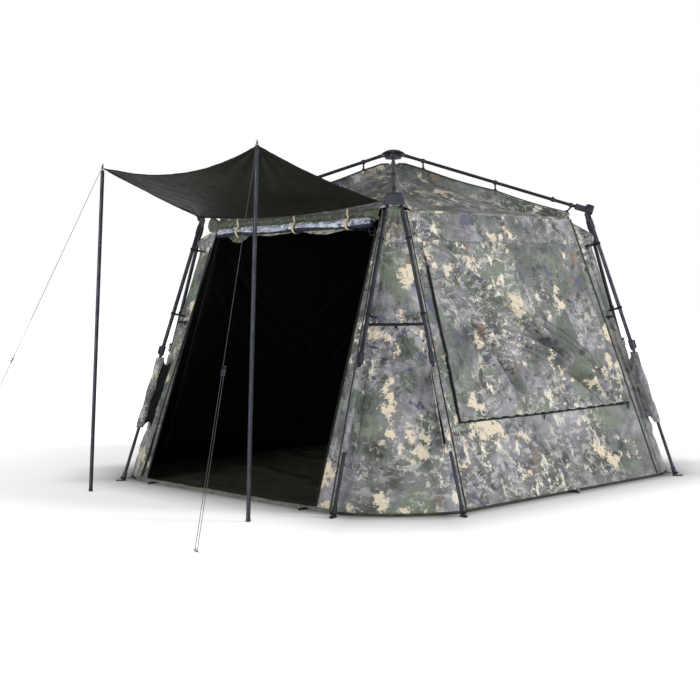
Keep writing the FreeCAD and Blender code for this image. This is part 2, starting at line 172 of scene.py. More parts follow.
# ---- guy lines ------------------------------------------------------------------------------
# Braided polyester cord, 3 mm, tight from the pole spike to the ground peg, round the peg and
# back up to the slider, where it ends in a stopper knot.
GUY_R = 0.0015
POLE_TOP = Vector((0.783, -1.846, 2.062))
POLE_FOOT = Vector((0.807, -1.973, 0.0))
GUY_PEG = Vector((1.305, -2.690, 0.014))
SPREAD = 0.006
SPIKE_R = 0.003
START_GAP = 0.013
SLIDER_SHARE = 0.42
NEAR = 6 * 2 * GUY_R


def new_object(name, data):
    made = bpy.data.objects.new(name, data)
    scene.collection.objects.link(made)
    return made


def nurbs(name, points, radius, resolution=8):
    """An open cord: a NURBS line with the route's points as its control points."""
    curve = bpy.data.curves.new(name, "CURVE")
    curve.dimensions = "3D"
    curve.bevel_depth = radius
    curve.bevel_resolution = 3
    curve.resolution_u = resolution
    curve.use_fill_caps = True
    spline = curve.splines.new("NURBS")
    spline.points.add(len(points) - 1)
    for control, point in zip(spline.points, points):
        control.co = (*point, 1.0)
    spline.order_u = 3
    spline.use_endpoint_u = True
    return new_object(name, curve)


braid, tree, shader = material("braided_polyester_cord")
# Braided polyester: a fine diagonal rib and a soft, matt surface.
where = add(tree, "TexCoord").outputs["Object"]
rib = add(tree, "TexWave", {"Vector": where, "Scale": 160.0, "Distortion": 1.5}, bands_direction="DIAGONAL")
ramp = add(tree, "ValToRGB", {"Fac": rib.outputs["Fac"]})
ramp.color_ramp.elements[0].color = srgb("#2a2b26")
ramp.color_ramp.elements[1].color = srgb("#53534a")
tree.links.new(ramp.outputs["Color"], shader.inputs["Base Color"])
shader.inputs["Roughness"].default_value = 0.8

guy_tops = {}
for name, side in (("left", -1), ("right", 1)):
    mirror = Vector((side, 1, 1))
    tip = POLE_TOP * mirror - Vector((0, 0, 0.008))
    lean = (POLE_FOOT * mirror - tip).normalized()
    hook = GUY_PEG * mirror
    top = tip - lean * 0.026
    line = (top - hook).normalized()
    level = Vector((0, 0, 1)).cross(line).normalized()
    down_side, back_side = hook + level * SPREAD, hook - level * SPREAD
    start = top - line * START_GAP
    up = (start - down_side).normalized()
    reach = (start - down_side).length
    route = [start, start - up * NEAR, down_side + up * NEAR, down_side - up * SPREAD,
             back_side - up * SPREAD, back_side + up * NEAR, back_side + up * (reach * SLIDER_SHARE)]
    cord = nurbs(f"guy_cord_{name}", route, GUY_R, 24)
    cord.data.materials.append(braid)
    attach(cord, "hub")
    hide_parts(f"guy_line_{name}")
    guy_tops[name] = (top, start, up, reach, back_side, line, level)
    knot_mesh = bmesh.new()
    bmesh.ops.create_icosphere(knot_mesh, subdivisions=3, radius=0.0042)
    end = route[-1] + up * 0.002
    for vert in knot_mesh.verts:
        twist = 0.0006 * math.sin(900 * vert.co.z + 3 * math.atan2(vert.co.y, vert.co.x))
        vert.co += vert.co.normalized() * twist
    bmesh.ops.translate(knot_mesh, vec=end, verts=knot_mesh.verts)
    knot_data = bpy.data.meshes.new(f"stopper_knot_{name}")
    knot_mesh.to_mesh(knot_data)
    knot_mesh.free()
    knot = new_object(f"stopper_knot_{name}", knot_data)
    knot_data.materials.append(braid)
    for face in knot_data.polygons:
        face.use_smooth = True
    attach(knot, "hub")


# ---- tubes, fittings and pins from the frame --------------------------------------------------
# Anodised aluminium tube, moulded glass-filled nylon fittings and bright steel pins and pegs.
def noise_value(tree, vector, scale, detail=4.0, roughness=0.5, distortion=0.0):
    return add(tree, "TexNoise", {"Vector": vector, "Scale": scale, "Detail": detail,
                                  "Roughness": roughness, "Distortion": distortion}).outputs["Fac"]


def ramped(tree, value, *stops):
    """A colour ramp from (place, hex colour) stops."""
    ramp = add(tree, "ValToRGB", {"Fac": value})
    elements = ramp.color_ramp.elements
    while len(elements) < len(stops):
        elements.new(0.5)
    for element, (place, code) in zip(elements, stops):
        element.position = place
        element.color = srgb(code)
    return ramp.outputs["Color"]


def ranged(tree, value, low, high, to_low=0.0, to_high=1.0):
    return add(tree, "MapRange", {"Value": value, "From Min": low, "From Max": high,
                                  "To Min": to_low, "To Max": to_high}).outputs["Result"]


tube_metal, tree, shader = material("anodised_aluminium_tube")
where = add(tree, "TexCoord").outputs["Object"]
grain = add(tree, "Mapping", {"Vector": where, "Scale": (60.0, 60.0, 6.0)}).outputs["Vector"]
streaks = noise_value(tree, grain, 6.0, 3.0)
wear = noise_value(tree, where, 9.0, 6.0, 0.7)
tree.links.new(ramped(tree, wear, (0.30, "#24262c"), (0.62, "#353840"), (0.78, "#555860")),
               shader.inputs["Base Color"])
tree.links.new(ranged(tree, streaks, 0.3, 0.7, 0.28, 0.46), shader.inputs["Roughness"])
bump = add(tree, "Bump", {"Height": streaks, "Strength": 0.12, "Distance": 0.0005})
tree.links.new(bump.outputs["Normal"], shader.inputs["Normal"])
shader.inputs["Metallic"].default_value = 0.75

moulding, tree, shader = material("moulded_nylon")
# Glass-filled nylon: blue-black, finely pebbled by the tool, dusty in patches.
where = add(tree, "TexCoord").outputs["Object"]
pebble = noise_value(tree, where, 420.0, 2.0)
dust = noise_value(tree, where, 30.0, 5.0, 0.65)
tree.links.new(ramped(tree, dust, (0.35, "#15171f"), (0.75, "#2c3040")), shader.inputs["Base Color"])
tree.links.new(ranged(tree, dust, 0.3, 0.7, 0.42, 0.62), shader.inputs["Roughness"])
bump = add(tree, "Bump", {"Height": pebble, "Strength": 0.2, "Distance": 0.0006})
tree.links.new(bump.outputs["Normal"], shader.inputs["Normal"])

steel, tree, shader = material("bright_zinc_steel")
where = add(tree, "TexCoord").outputs["Object"]
spangle = noise_value(tree, where, 120.0, 4.0, 0.6)
tree.links.new(ramped(tree, spangle, (0.3, "#6f7276"), (0.7, "#a9acaf")), shader.inputs["Base Color"])
tree.links.new(ranged(tree, spangle, 0.3, 0.7, 0.25, 0.45), shader.inputs["Roughness"])
shader.inputs["Metallic"].default_value = 1.0

TUBE_NODES = ("roof_arm", "upper_leg", "lower_leg", "porch_pole")
PIN_NODES = ("hub_pins", "guy_peg", "wall_pegs")
FABRIC_NODES = ("wall_right", "wall_left", "wall_back", "wall_front", "corner_panels", "roof", "groundsheet",
                "window_flaps", "door_roll", "door_ties", "leg_webs", "porch_sheet", "guy_line")


def give(obj, finish):
    """Puts one material on a CAD node."""
    obj.data.materials.clear()
    obj.data.materials.append(finish)


for node_name, node_object in frame["nodes"].items():
    if node_name.startswith(TUBE_NODES):
        give(node_object, tube_metal)
    elif node_name.startswith(PIN_NODES):
        give(node_object, steel)
    elif not node_name.startswith(FABRIC_NODES):
        give(node_object, moulding)

# ---- cloth shapes -----------------------------------------------------------------------------
# Coated polyester, cut in flat panels. A wall hangs from its hooks and pegs, so it is tight at its
# edges, hollow between them, and creased where it is pulled.
BASE_HALF, BASE_CORNER = 1.5, 0.95
EAVE_HALF, EAVE_CORNER, EAVE_Z = 0.9, 0.8, 1.74
APEX_Z = 2.135
FACING = {"front": 0, "right": 90, "back": 180, "left": -90}
CORNER_ANGLE = {"front_right": -45, "back_right": 45, "back_left": 135, "front_left": -135}
WALL_OUT = Vector((0, -EAVE_Z, BASE_HALF - EAVE_HALF)).normalized()
CLOTH = 0.0012
FOLD = "roof_fold"


def lerp(a, b, t):
    return a + (b - a) * t


def smooth(t):
    t = max(0.0, min(1.0, t))
    return t * t * (3 - 2 * t)


def half_at(z):
    return lerp(BASE_HALF, EAVE_HALF, z / EAVE_Z)


def cut_at(z):
    return lerp(BASE_CORNER, EAVE_CORNER, z / EAVE_Z)


def turned(vector, degrees):
    return Matrix.Rotation(math.radians(degrees), 3, "Z") @ Vector(vector)


def crease(x, z, start, end, height, width):
    """The lift of a slack fold that runs from start to end on a wall, steep on its lower side."""
    run = Vector((end[0] - start[0], end[1] - start[1]))
    off = Vector((x - start[0], z - start[1]))
    along = off.dot(run) / run.length_squared
    if along <= -0.12 or along >= 1.12:
        return 0.0
    bow = 0.05 * run.length * math.sin(math.pi * max(0.0, min(1.0, along)))
    across = ((off.x * run.y - off.y * run.x) / run.length + bow) / width
    if abs(across) > 4:
        return 0.0
    taper = smooth((along + 0.12) / 0.3) * smooth((1.12 - along) / 0.3)
    return height * taper * (math.exp(-across * across) - 0.6 * math.exp(-((across - 1.3) ** 2) * 2.2))


def rumple(point, size, seed):
    """A soft uneven swell, between about -1 and 1."""
    place = Vector(point) / size + Vector((seed * 7.3, seed * 3.1, seed * 5.7))
    return noise.fractal(place, 0.9, 2.1, 4)


# Folds of each wall, from and to (across, height), then lift and width, as the cloth hangs.
WALL_FOLDS = {
    "right": [((-0.43, 1.35), (0.58, 0.60), 0.052, 0.030), ((-0.64, 1.32), (-0.14, 0.60), 0.042, 0.028),
              ((-0.70, 1.14), (-0.31, 0.74), 0.030, 0.024), ((-0.23, 1.00), (0.58, 0.62), 0.042, 0.026),
              ((-0.72, 1.61), (-0.34, 1.43), 0.018, 0.020), ((-0.75, 1.56), (-0.20, 1.20), 0.022, 0.022),
              ((-0.78, 1.66), (0.10, 1.50), 0.015, 0.020), ((0.10, 1.10), (0.70, 0.70), 0.016, 0.022),
              ((0.78, 1.60), (0.45, 1.05), 0.008, 0.020), ((0.80, 1.50), (0.62, 0.90), 0.008, 0.018),
              ((-0.90, 0.42), (-0.30, 0.10), 0.008, 0.020), ((0.90, 0.40), (0.40, 0.08), 0.010, 0.022),
              ((-0.30, 0.40), (0.30, 0.33), 0.005, 0.018), ((-0.78, 0.90), (-0.70, 0.55), 0.007, 0.018),
              ((-0.60, 0.95), (0.10, 0.60), 0.009, 0.016), ((0.30, 0.86), (0.74, 0.60), 0.008, 0.016)],
    "back": [((-0.70, 1.55), (0.20, 0.75), 0.018, 0.028), ((0.72, 1.50), (-0.05, 0.90), 0.018, 0.028),
             ((-0.78, 1.20), (-0.30, 0.60), 0.012, 0.024), ((0.80, 1.10), (0.35, 0.60), 0.012, 0.024),
             ((-0.90, 0.40), (-0.30, 0.12), 0.009, 0.022), ((0.90, 0.38), (0.30, 0.10), 0.009, 0.022),
             ((-0.20, 1.30), (0.50, 0.80), 0.010, 0.020), ((-0.75, 1.66), (-0.10, 1.50), 0.008, 0.020)],
    "left": [((0.70, 1.50), (-0.35, 0.80), 0.020, 0.030), ((0.75, 1.25), (0.10, 0.65), 0.015, 0.026),
             ((-0.75, 1.50), (-0.20, 1.05), 0.013, 0.024), ((-0.80, 1.10), (-0.45, 0.60), 0.010, 0.022),
             ((0.88, 0.42), (0.30, 0.12), 0.009, 0.022), ((-0.90, 0.40), (-0.25, 0.12), 0.009, 0.022),
             ((0.60, 1.62), (-0.10, 1.52), 0.008, 0.020), ((-0.10, 0.98), (-0.60, 0.60), 0.009, 0.020)],
    "front": []}


def wall_lift(name, x, z):
    """How far the cloth of a wall stands out from its flat panel, in metres."""
    u = min(1.0, abs(x) / cut_at(z))
    edge = max(0.0, 1 - u) ** 0.5 * math.sin(math.pi * min(1.0, max(0.0, z / EAVE_Z)))
    lift = -0.030 * edge
    for start, end, height, width in WALL_FOLDS[name]:
        lift += crease(x, z, start, end, height, width)
    seed = FACING[name] / 90 + 2
    lift += 0.007 * rumple((x, 0, z), 0.34, seed) + 0.0028 * rumple((x, 0, z), 0.09, seed + 9)
    return lift * smooth(z / 0.10) * smooth((EAVE_Z - z) / 0.05 + 0.2) * smooth((1 - u) / 0.03)


def wall_point(name, x, z, out=0.0):
    """The place of a point of a wall's cloth: x across, z its height, out from the cloth."""
    flat = Vector((x, -half_at(z), z)) + WALL_OUT * (wall_lift(name, x, z) + out)
    return turned(flat, FACING[name])


def wall_normal(name):
    return turned(WALL_OUT, FACING[name])


def piece(name, made, finishes, body):
    """Closes a mesh into an object with its finish, on its body if it has one of its own."""
    data = bpy.data.meshes.new(name)
    made.to_mesh(data)
    made.free()
    for finish in finishes:
        data.materials.append(finish)
    for face in data.polygons:
        face.use_smooth = True
    obj = new_object(name, data)
    if body:
        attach(obj, body)
    return obj


def sheet_mesh(across, up, place):
    """A flat grid with each point put in place by place(u, v), both from 0 to 1."""
    made = bmesh.new()
    bmesh.ops.create_grid(made, x_segments=across, y_segments=up, size=0.5)
    for vert in made.verts:
        vert.co = place(vert.co.x + 0.5, vert.co.y + 0.5)
    return made


def grid(name, across, up, place, finish, body, solid=0.0, back=None):
    """A sheet of cloth, with its thickness and the finish of its back."""
    obj = piece(name, sheet_mesh(across, up, place), [finish] + ([back] if back else []), body)
    if solid:
        thick = obj.modifiers.new("thickness", "SOLIDIFY")
        thick.thickness = solid
        thick.offset = -1
        thick.material_offset = 1 if back else 0
    return obj


def strip_mesh(path, profile, closed=False, made=None):
    """A strip along a path of (point, outward) pairs; its section is (across, out) pairs, left to right."""
    part = bmesh.new()
    rows, steps = len(path), len(profile)
    bmesh.ops.create_grid(part, x_segments=rows - 1, y_segments=steps - 1, size=0.5)
    for vert in part.verts:
        i = round((vert.co.x + 0.5) * (rows - 1))
        j = round((vert.co.y + 0.5) * (steps - 1))
        ahead = (path[min(i + 1, rows - 1)][0] - path[max(i - 1, 0)][0]).normalized()
        outward = path[i][1]
        side = outward.cross(ahead).normalized()
        across, out = profile[j]
        vert.co = path[i][0] + side * across + side.cross(ahead).normalized() * -out
    if closed:
        bmesh.ops.remove_doubles(part, verts=part.verts, dist=1e-6)
        bmesh.ops.holes_fill(part, edges=part.edges, sides=0)
        bmesh.ops.recalc_face_normals(part, faces=part.faces)
    if made is None:
        return part
    join(made, part)
    return made


def join(made, part):
    """Adds one mesh to another."""
    data = bpy.data.meshes.new("part")
    part.to_mesh(data)
    part.free()
    made.from_mesh(data)
    bpy.data.meshes.remove(data)


def ring_section(radius_across, radius_out, steps=12):
    """A closed oval section for strip_mesh."""
    return [(radius_across * math.cos(-2 * math.pi * n / steps), radius_out * math.sin(-2 * math.pi * n / steps))
            for n in range(steps)] + [(radius_across, 0.0)]


def add_rod(made, start, end, radius, tip=None, segments=14):
    """Adds a round bar with softened ends."""
    part = bmesh.new()
    run = Vector(end) - Vector(start)
    bmesh.ops.create_cone(part, cap_ends=True, segments=segments, radius1=radius,
                          radius2=radius if tip is None else tip, depth=run.length)
    rims = [e for e in part.edges if abs(e.verts[0].co.z - e.verts[1].co.z) < 1e-7]
    bmesh.ops.bevel(part, geom=rims, offset=min(radius * 0.3, run.length * 0.2), segments=2, profile=0.5,
                    affect="EDGES", material=-1)
    turn = run.to_track_quat("Z", "Y").to_matrix().to_4x4()
    move = Matrix.Translation((Vector(start) + Vector(end)) / 2) @ turn
    bmesh.ops.transform(part, matrix=move, verts=part.verts)
    join(made, part)


def add_ring(made, centre, axis, radius, thick, wide=None, steps=20):
    """Adds a ring round an axis: thick is its section's half depth, wide its half width along the axis."""
    part = bmesh.new()
    bmesh.ops.create_circle(part, segments=10, radius=1.0)
    for vert in part.verts:
        vert.co = Vector((radius + vert.co.x * thick, 0, vert.co.y * (wide or thick)))
    bmesh.ops.spin(part, geom=part.verts[:] + part.edges[:], cent=(0, 0, 0), axis=(0, 0, 1),
                   angle=2 * math.pi, steps=steps, use_merge=True)
    bmesh.ops.recalc_face_normals(part, faces=part.faces)
    move = Matrix.Translation(centre) @ Vector(axis).to_track_quat("Z", "Y").to_matrix().to_4x4()
    bmesh.ops.transform(part, matrix=move, verts=part.verts)
    join(made, part)


def leg_line(corner, number):
    """Pivot and direction of a leg, from its two joints."""
    pivot = Vector(joints[f"leg_fold_{corner}_{number}"]["pos_m"])
    down = -Vector(joints[f"leg_slide_{corner}_{number}"]["axis"])
    return pivot, down.normalized()


def gather(obj):
    """Gives a piece of cloth its own copy of its mesh."""
    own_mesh(obj)


# ---- printed cloth ------------------------------------------------------------------------------
# Coated polyester with a generic leaf-litter print: ragged patches of sand, sage, slate, green and
# brown, twigs and small flecks. Its coating gives a soft, broken shine.
def printed_cloth(name, shift, shade=0.0):
    made, tree, shader = material(name)
    place = add(tree, "TexCoord").outputs["Object"]
    moved = add(tree, "Mapping", {"Vector": place, "Location": shift, "Scale": (1.15, 1.15, 1.15)}).outputs["Vector"]
    ragged = add(tree, "TexNoise", {"Vector": moved, "Scale": 30.0, "Detail": 4.0, "Roughness": 0.75})
    fray = add(tree, "VectorMath", {0: ragged.outputs["Color"], 1: (0.5, 0.5, 0.5)}, operation="SUBTRACT")
    fray = add(tree, "VectorMath", {0: fray.outputs[0], "Scale": 0.06}, operation="SCALE")
    torn = add(tree, "VectorMath", {0: moved, 1: fray.outputs[0]}, operation="ADD").outputs[0]

    def times(a, b):
        return add(tree, "Math", {0: a, 1: b}, operation="MULTIPLY").outputs[0]

    def patch(colour, code, scale, low, high, offset, stretch=(1.0, 1.0, 1.0), detail=5.0, rough=0.6, mask=None):
        """Lays a ragged patch of one ink over the colour so far."""
        at = add(tree, "Mapping", {"Vector": torn, "Location": offset, "Scale": stretch}).outputs["Vector"]
        fac = ranged(tree, noise_value(tree, at, scale, detail, rough), low, high)
        if mask is not None:
            fac = times(fac, mask)
        mix = add(tree, "Mix", {"Factor": fac, 6: colour, 7: srgb(code)}, data_type="RGBA", clamp_factor=True)
        return mix.outputs[2]

    def twigs(colour, code, scale, width, offset, mask):
        """Thin, winding strokes where a noise crosses its middle value."""
        at = add(tree, "Mapping", {"Vector": moved, "Location": offset}).outputs["Vector"]
        value = noise_value(tree, at, scale, 2.0, 0.5, 0.6)
        off = add(tree, "Math", {0: value, 1: 0.5}, operation="SUBTRACT").outputs[0]
        size = add(tree, "Math", {0: off}, operation="ABSOLUTE").outputs[0]
        fac = times(ranged(tree, size, width, width * 0.5), mask)
        mix = add(tree, "Mix", {"Factor": fac, 6: colour, 7: srgb(code)}, data_type="RGBA", clamp_factor=True)
        return mix.outputs[2]

    ground = ramped(tree, noise_value(tree, torn, 3.0, 6.0, 0.68),
                    (0.38, "#3d423d"), (0.45, "#5e635b"), (0.53, "#78787f"), (0.64, "#97959d"))
    colour = patch(ground, "#6a7566", 2.3, 0.53, 0.58, (3.1, 0.4, 1.7))
    colour = patch(colour, "#4e5b4c", 2.9, 0.59, 0.62, (7.9, 2.2, 5.1))
    mask_a = ranged(tree, noise_value(tree, moved, 1.7, 3.0), 0.42, 0.56)
    mask_b = ranged(tree, noise_value(tree, moved, 2.3, 2.0, 0.5, 0.4), 0.60, 0.46)
    colour = patch(colour, "#575a5c", 13.0, 0.53, 0.56, (9.3, 4.5, 3.3), (2.2, 1.0, 1.0), mask=mask_b)
    colour = patch(colour, "#a9a8a8", 12.0, 0.54, 0.57, (2.6, 6.1, 0.9), (1.0, 1.0, 2.4), mask=mask_a)
    colour = patch(colour, "#474c63", 5.4, 0.61, 0.64, (1.3, 8.8, 2.4))
    colour = patch(colour, "#77685a", 4.6, 0.62, 0.66, (5.7, 1.9, 9.2))
    colour = patch(colour, "#33382f", 9.5, 0.58, 0.61, (6.3, 0.3, 4.7), mask=mask_b)
    colour = twigs(colour, "#b9b4a8", 3.4, 0.006, (2.0, 5.0, 7.0), mask_a)
    colour = twigs(colour, "#3d423c", 4.2, 0.007, (8.0, 1.0, 3.0), mask_b)
    colour = patch(colour, "#d6c9b2", 3.6, 0.594, 0.600, (4.4, 7.7, 6.6), detail=8.0, rough=0.70)
    colour = patch(colour, "#ded6c6", 9.0, 0.590, 0.600, (8.2, 3.8, 1.1), (1.5, 1.5, 0.8), 5.0, 0.70, mask_a)
    colour = patch(colour, "#2c3034", 16.0, 0.605, 0.62, (0.7, 5.9, 7.3), (1.0, 1.0, 1.6), 4.0, 0.7, mask_b)
    # Painted shade: above nought, shade mixes the print toward a dull dark grey-green, so cloth cut from it looks as
    # if it stood in less light.
    if shade:
        painted_shade_colour = add(tree, "Mix", {"Factor": shade, 6: colour, 7: srgb("#3f423c")}, data_type="RGBA").outputs[2]
        colour = painted_shade_colour
    tree.links.new(colour, shader.inputs["Base Color"])

    soft = noise_value(tree, place, 12.0, 4.0, 0.55)
    crumple = noise_value(tree, place, 55.0, 4.0, 0.62)
    weave = noise_value(tree, place, 420.0, 1.0)
    height = add(tree, "Math", {0: soft, 1: crumple}, operation="ADD").outputs[0]
    height = add(tree, "Math", {0: weave, 1: 0.12, 2: height}, operation="MULTIPLY_ADD").outputs[0]
    bump = add(tree, "Bump", {"Height": height, "Strength": 0.7, "Distance": 0.010})
    tree.links.new(bump.outputs["Normal"], shader.inputs["Normal"])
    tree.links.new(ranged(tree, crumple, 0.3, 0.7, 0.40, 0.60), shader.inputs["Roughness"])
    shader.inputs["Sheen Weight"].default_value = 0.05
    return made


print_walls = printed_cloth("printed_polyester_walls", (0.0, 0.0, 0.0))
print_flaps = printed_cloth("printed_polyester_flaps", (3.7, 1.9, 0.6))
print_corners = printed_cloth("printed_polyester_corners", (6.1, 4.3, 2.2))
# The roof's print carries a little painted shade.
print_roof_shaded = printed_cloth("printed_polyester_roof_shaded", (9.4, 7.7, 5.2), 0.12)


def dark_cloth(name, low, high, rough, scale=5.0, lift=0.3):
    """A plain coated cloth: two shades that drift into each other, a crumpled face and a fine weave."""
    made, tree, shader = material(name)
    where = add(tree, "TexCoord").outputs["Object"]
    tree.links.new(ramped(tree, noise_value(tree, where, scale, 5.0, 0.6), (0.3, low), (0.7, high)),
                   shader.inputs["Base Color"])
    crumple = noise_value(tree, where, 26.0, 5.0, 0.6)
    weave = noise_value(tree, where, 500.0, 1.0)
    height = add(tree, "Math", {0: weave, 1: 0.2, 2: crumple}, operation="MULTIPLY_ADD").outputs[0]
    bump = add(tree, "Bump", {"Height": height, "Strength": lift, "Distance": 0.006})
    tree.links.new(bump.outputs["Normal"], shader.inputs["Normal"])
    tree.links.new(ranged(tree, crumple, 0.3, 0.7, rough - 0.08, rough + 0.08), shader.inputs["Roughness"])
    shader.inputs["Specular IOR Level"].default_value = 0.2
    return made


lining = dark_cloth("black_coated_lining", "#070807", "#0f110f", 0.62)
hem_cloth = dark_cloth("dark_hem_webbing", "#2f312a", "#484a40", 0.75, 20.0)
# The porch cloth is dark olive, and its shades are set darker still: partly its colour, partly painted shade for its
# underside.
olive_cloth = dark_cloth("olive_coated_polyester", "#10130b", "#1a1e14", 0.66, 3.0, 0.22)
sage_cloth = dark_cloth("sage_coated_polyester", "#2c3128", "#6c7263", 0.50, 26.0, 0.6)
# The groundsheet's shades are lighter than its own dark olive: painted light, for the light that comes in at the
# door.
floor_cloth = dark_cloth("groundsheet_polyethylene", "#3a3b32", "#66675b", 0.45, 6.0, 0.45)
zip_tape = dark_cloth("black_zip_tape", "#111312", "#1d201e", 0.7, 60.0)
webbing = dark_cloth("black_webbing", "#101114", "#1c1e22", 0.7, 60.0)
pale_hem = dark_cloth("pale_taped_hem", "#55574f", "#7d7e74", 0.6, 30.0)

# ---- walls ----------------------------------------------------------------------------------
# Three full walls of printed cloth with a black lining, sewn to the corner panels and the roof,
# each with a dark hem at the ground.
WALL_BODY = {"right": "leg_back_right_1", "back": "leg_back_right_2", "left": "leg_back_left_2"}
HEM_TALL = 0.016

for name in ("right", "back", "left"):
    def on_wall(u, v, name=name):
        z = lerp(0.002, EAVE_Z - 0.002, v)
        return wall_point(name, (2 * u - 1) * cut_at(z), z)

    def on_hem(u, v, name=name):
        z = lerp(0.002, HEM_TALL, v)
        return wall_point(name, (2 * u - 1) * cut_at(z), z, 0.003 + 0.0015 * math.sin(math.pi * v))

    body = WALL_BODY[name]
    wall = grid(f"{name}_wall_cloth", 170, 150, on_wall, print_walls, body, CLOTH, lining)
    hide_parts(f"wall_{name}")
    hem = grid(f"{name}_wall_hem", 120, 3, on_hem, hem_cloth, body, 0.002)
    gather(wall)
    gather(hem)

# ---- window flaps -------------------------------------------------------------------------------
# A printed flap covers the mesh window of each full wall. It is sewn in along its top and one side,
# and closed by a zip down the other side and along the bottom, with one pull on the side and two on the bottom.
FLAP_LOW, FLAP_HIGH = 0.49, 1.56
FLAP_LEFT, FLAP_RIGHT = -0.81, 0.85
ZIP_TOP = 1.40
ZIP_PROFILE = [(-0.008, 0.0), (-0.008, 0.0015), (-0.0035, 0.002), (-0.0022, 0.0042), (0.0022, 0.0042),
               (0.0035, 0.002), (0.008, 0.0015), (0.008, 0.0)]


def flap_left(z):
    """The left edge of a flap leans in with the wall."""
    return FLAP_LEFT + (z - FLAP_LOW) * 0.075


def flap_right(z):
    return FLAP_RIGHT - (z - FLAP_LOW) * 0.085


for name in ("right", "back", "left"):
    def on_flap(u, v, name=name):
        z = lerp(FLAP_LOW, FLAP_HIGH, v)
        x = lerp(flap_left(z), flap_right(z), u)
        stand = 0.006 * (1 - smooth(v * 8 - 7)) * (1 - 0.7 * smooth(u * 10 - 9)) + 0.0015
        pucker = 0.0022 * math.sin(70 * z + 2 * math.sin(9 * z)) * math.exp(-u * 30)
        pucker += 0.0022 * math.sin(66 * x + 2 * math.sin(7 * x)) * math.exp(-v * 26)
        return wall_point(name, x, z, stand + pucker)

    def storm_edge(name=name):
        """A strip of cloth folded over the side zip throws its shadow on the wall."""
        path = []
        for step in range(60):
            z = lerp(FLAP_LOW - 0.004, ZIP_TOP, step / 59)
            path.append((wall_point(name, flap_left(z), z, 0.008), wall_normal(name)))
        return path

    def low_edge(name=name):
        path = []
        for step in range(110):
            x = lerp(flap_left(FLAP_LOW) - 0.004, FLAP_RIGHT + 0.01, step / 109)
            path.append((wall_point(name, x, FLAP_LOW, 0.005), wall_normal(name)))
        return path

    body = WALL_BODY[name]
    flap = grid(f"{name}_window_flap", 150, 110, on_flap, print_flaps, body, CLOTH, lining)
    if name == "right":
        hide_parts("window_flaps")
    zips = strip_mesh(storm_edge(), ZIP_PROFILE)
    strip_mesh(low_edge(), ZIP_PROFILE, made=zips)
    zip_piece = piece(f"{name}_window_zips", zips, [zip_tape], body)
    pulls = bmesh.new()
    outward = wall_normal(name)
    for x, z in ((flap_left(ZIP_TOP), ZIP_TOP), (-0.02, FLAP_LOW), (FLAP_RIGHT, FLAP_LOW)):
        top = wall_point(name, x, z, 0.014)
        drop = Vector((0, 0, -1)) + outward * 0.1
        strip_mesh([(top + drop * 0.045 * n / 5 + outward * 0.003 * math.sin(n), outward) for n in range(6)],
                   ring_section(0.006, 0.0018), True, pulls)
        add_ring(pulls, top, outward.cross(Vector((0, 0, 1))), 0.005, 0.0014)
    pull_piece = piece(f"{name}_window_pulls", pulls, [webbing], body)
    for obj in (flap, zip_piece, pull_piece):
        gather(obj)

# ---- corner panels --------------------------------------------------------------------------------
# Narrow printed panels join the walls at each corner. Each is pleated into its top, hooked out to
# the legs by an ear under the elbow, and holds a short vent zip.
VENT_Z = 1.06


def corner_point(corner, s, z, out=0.0):
    """A point of a corner panel: s from 0 at its tangential - seam to 1 at its + seam."""
    half, cut = half_at(z), cut_at(z)
    middle, side = (half + cut) / math.sqrt(2), (half - cut) / math.sqrt(2)
    bell = math.sin(math.pi * max(0.0, min(1.0, s)))
    ear = 0.045 * math.exp(-((z - 1.625) / 0.060) ** 2) * bell ** 1.4
    belly = lerp(0.125, 0.085, z / 1.6) * bell ** 0.75 * smooth((EAVE_Z - z) / 0.14)
    pleat = 0.5 * smooth((z - 1.0) / 0.5) * (1 - smooth((z - 1.66) / 0.08))
    folds = pleat * 0.017 * math.sin(2 * math.pi * (4.6 * s + 0.12 * math.sin(5 * z))) * bell ** 0.5
    sag = crease(s - 0.5, z, (-0.42, 0.95), (0.34, 0.50), 0.012, 0.045) + \
        crease(s - 0.5, z, (-0.45, 0.36), (0.38, 0.12), 0.010, 0.040) + \
        crease(s - 0.5, z, (0.46, 0.98), (0.10, 0.55), 0.010, 0.040)
    seed = CORNER_ANGLE[corner] / 90 + 11
    loose = (0.007 * rumple((s, 0, z), 0.30, seed) + 0.003 * rumple((s, 0, z), 0.08, seed + 3)) * bell ** 0.5
    r = middle + ear + belly + folds + (sag * min(1.0, bell * 3) + loose) * smooth(z / 0.08) + out
    return turned((r, (2 * s - 1) * side, z), CORNER_ANGLE[corner])


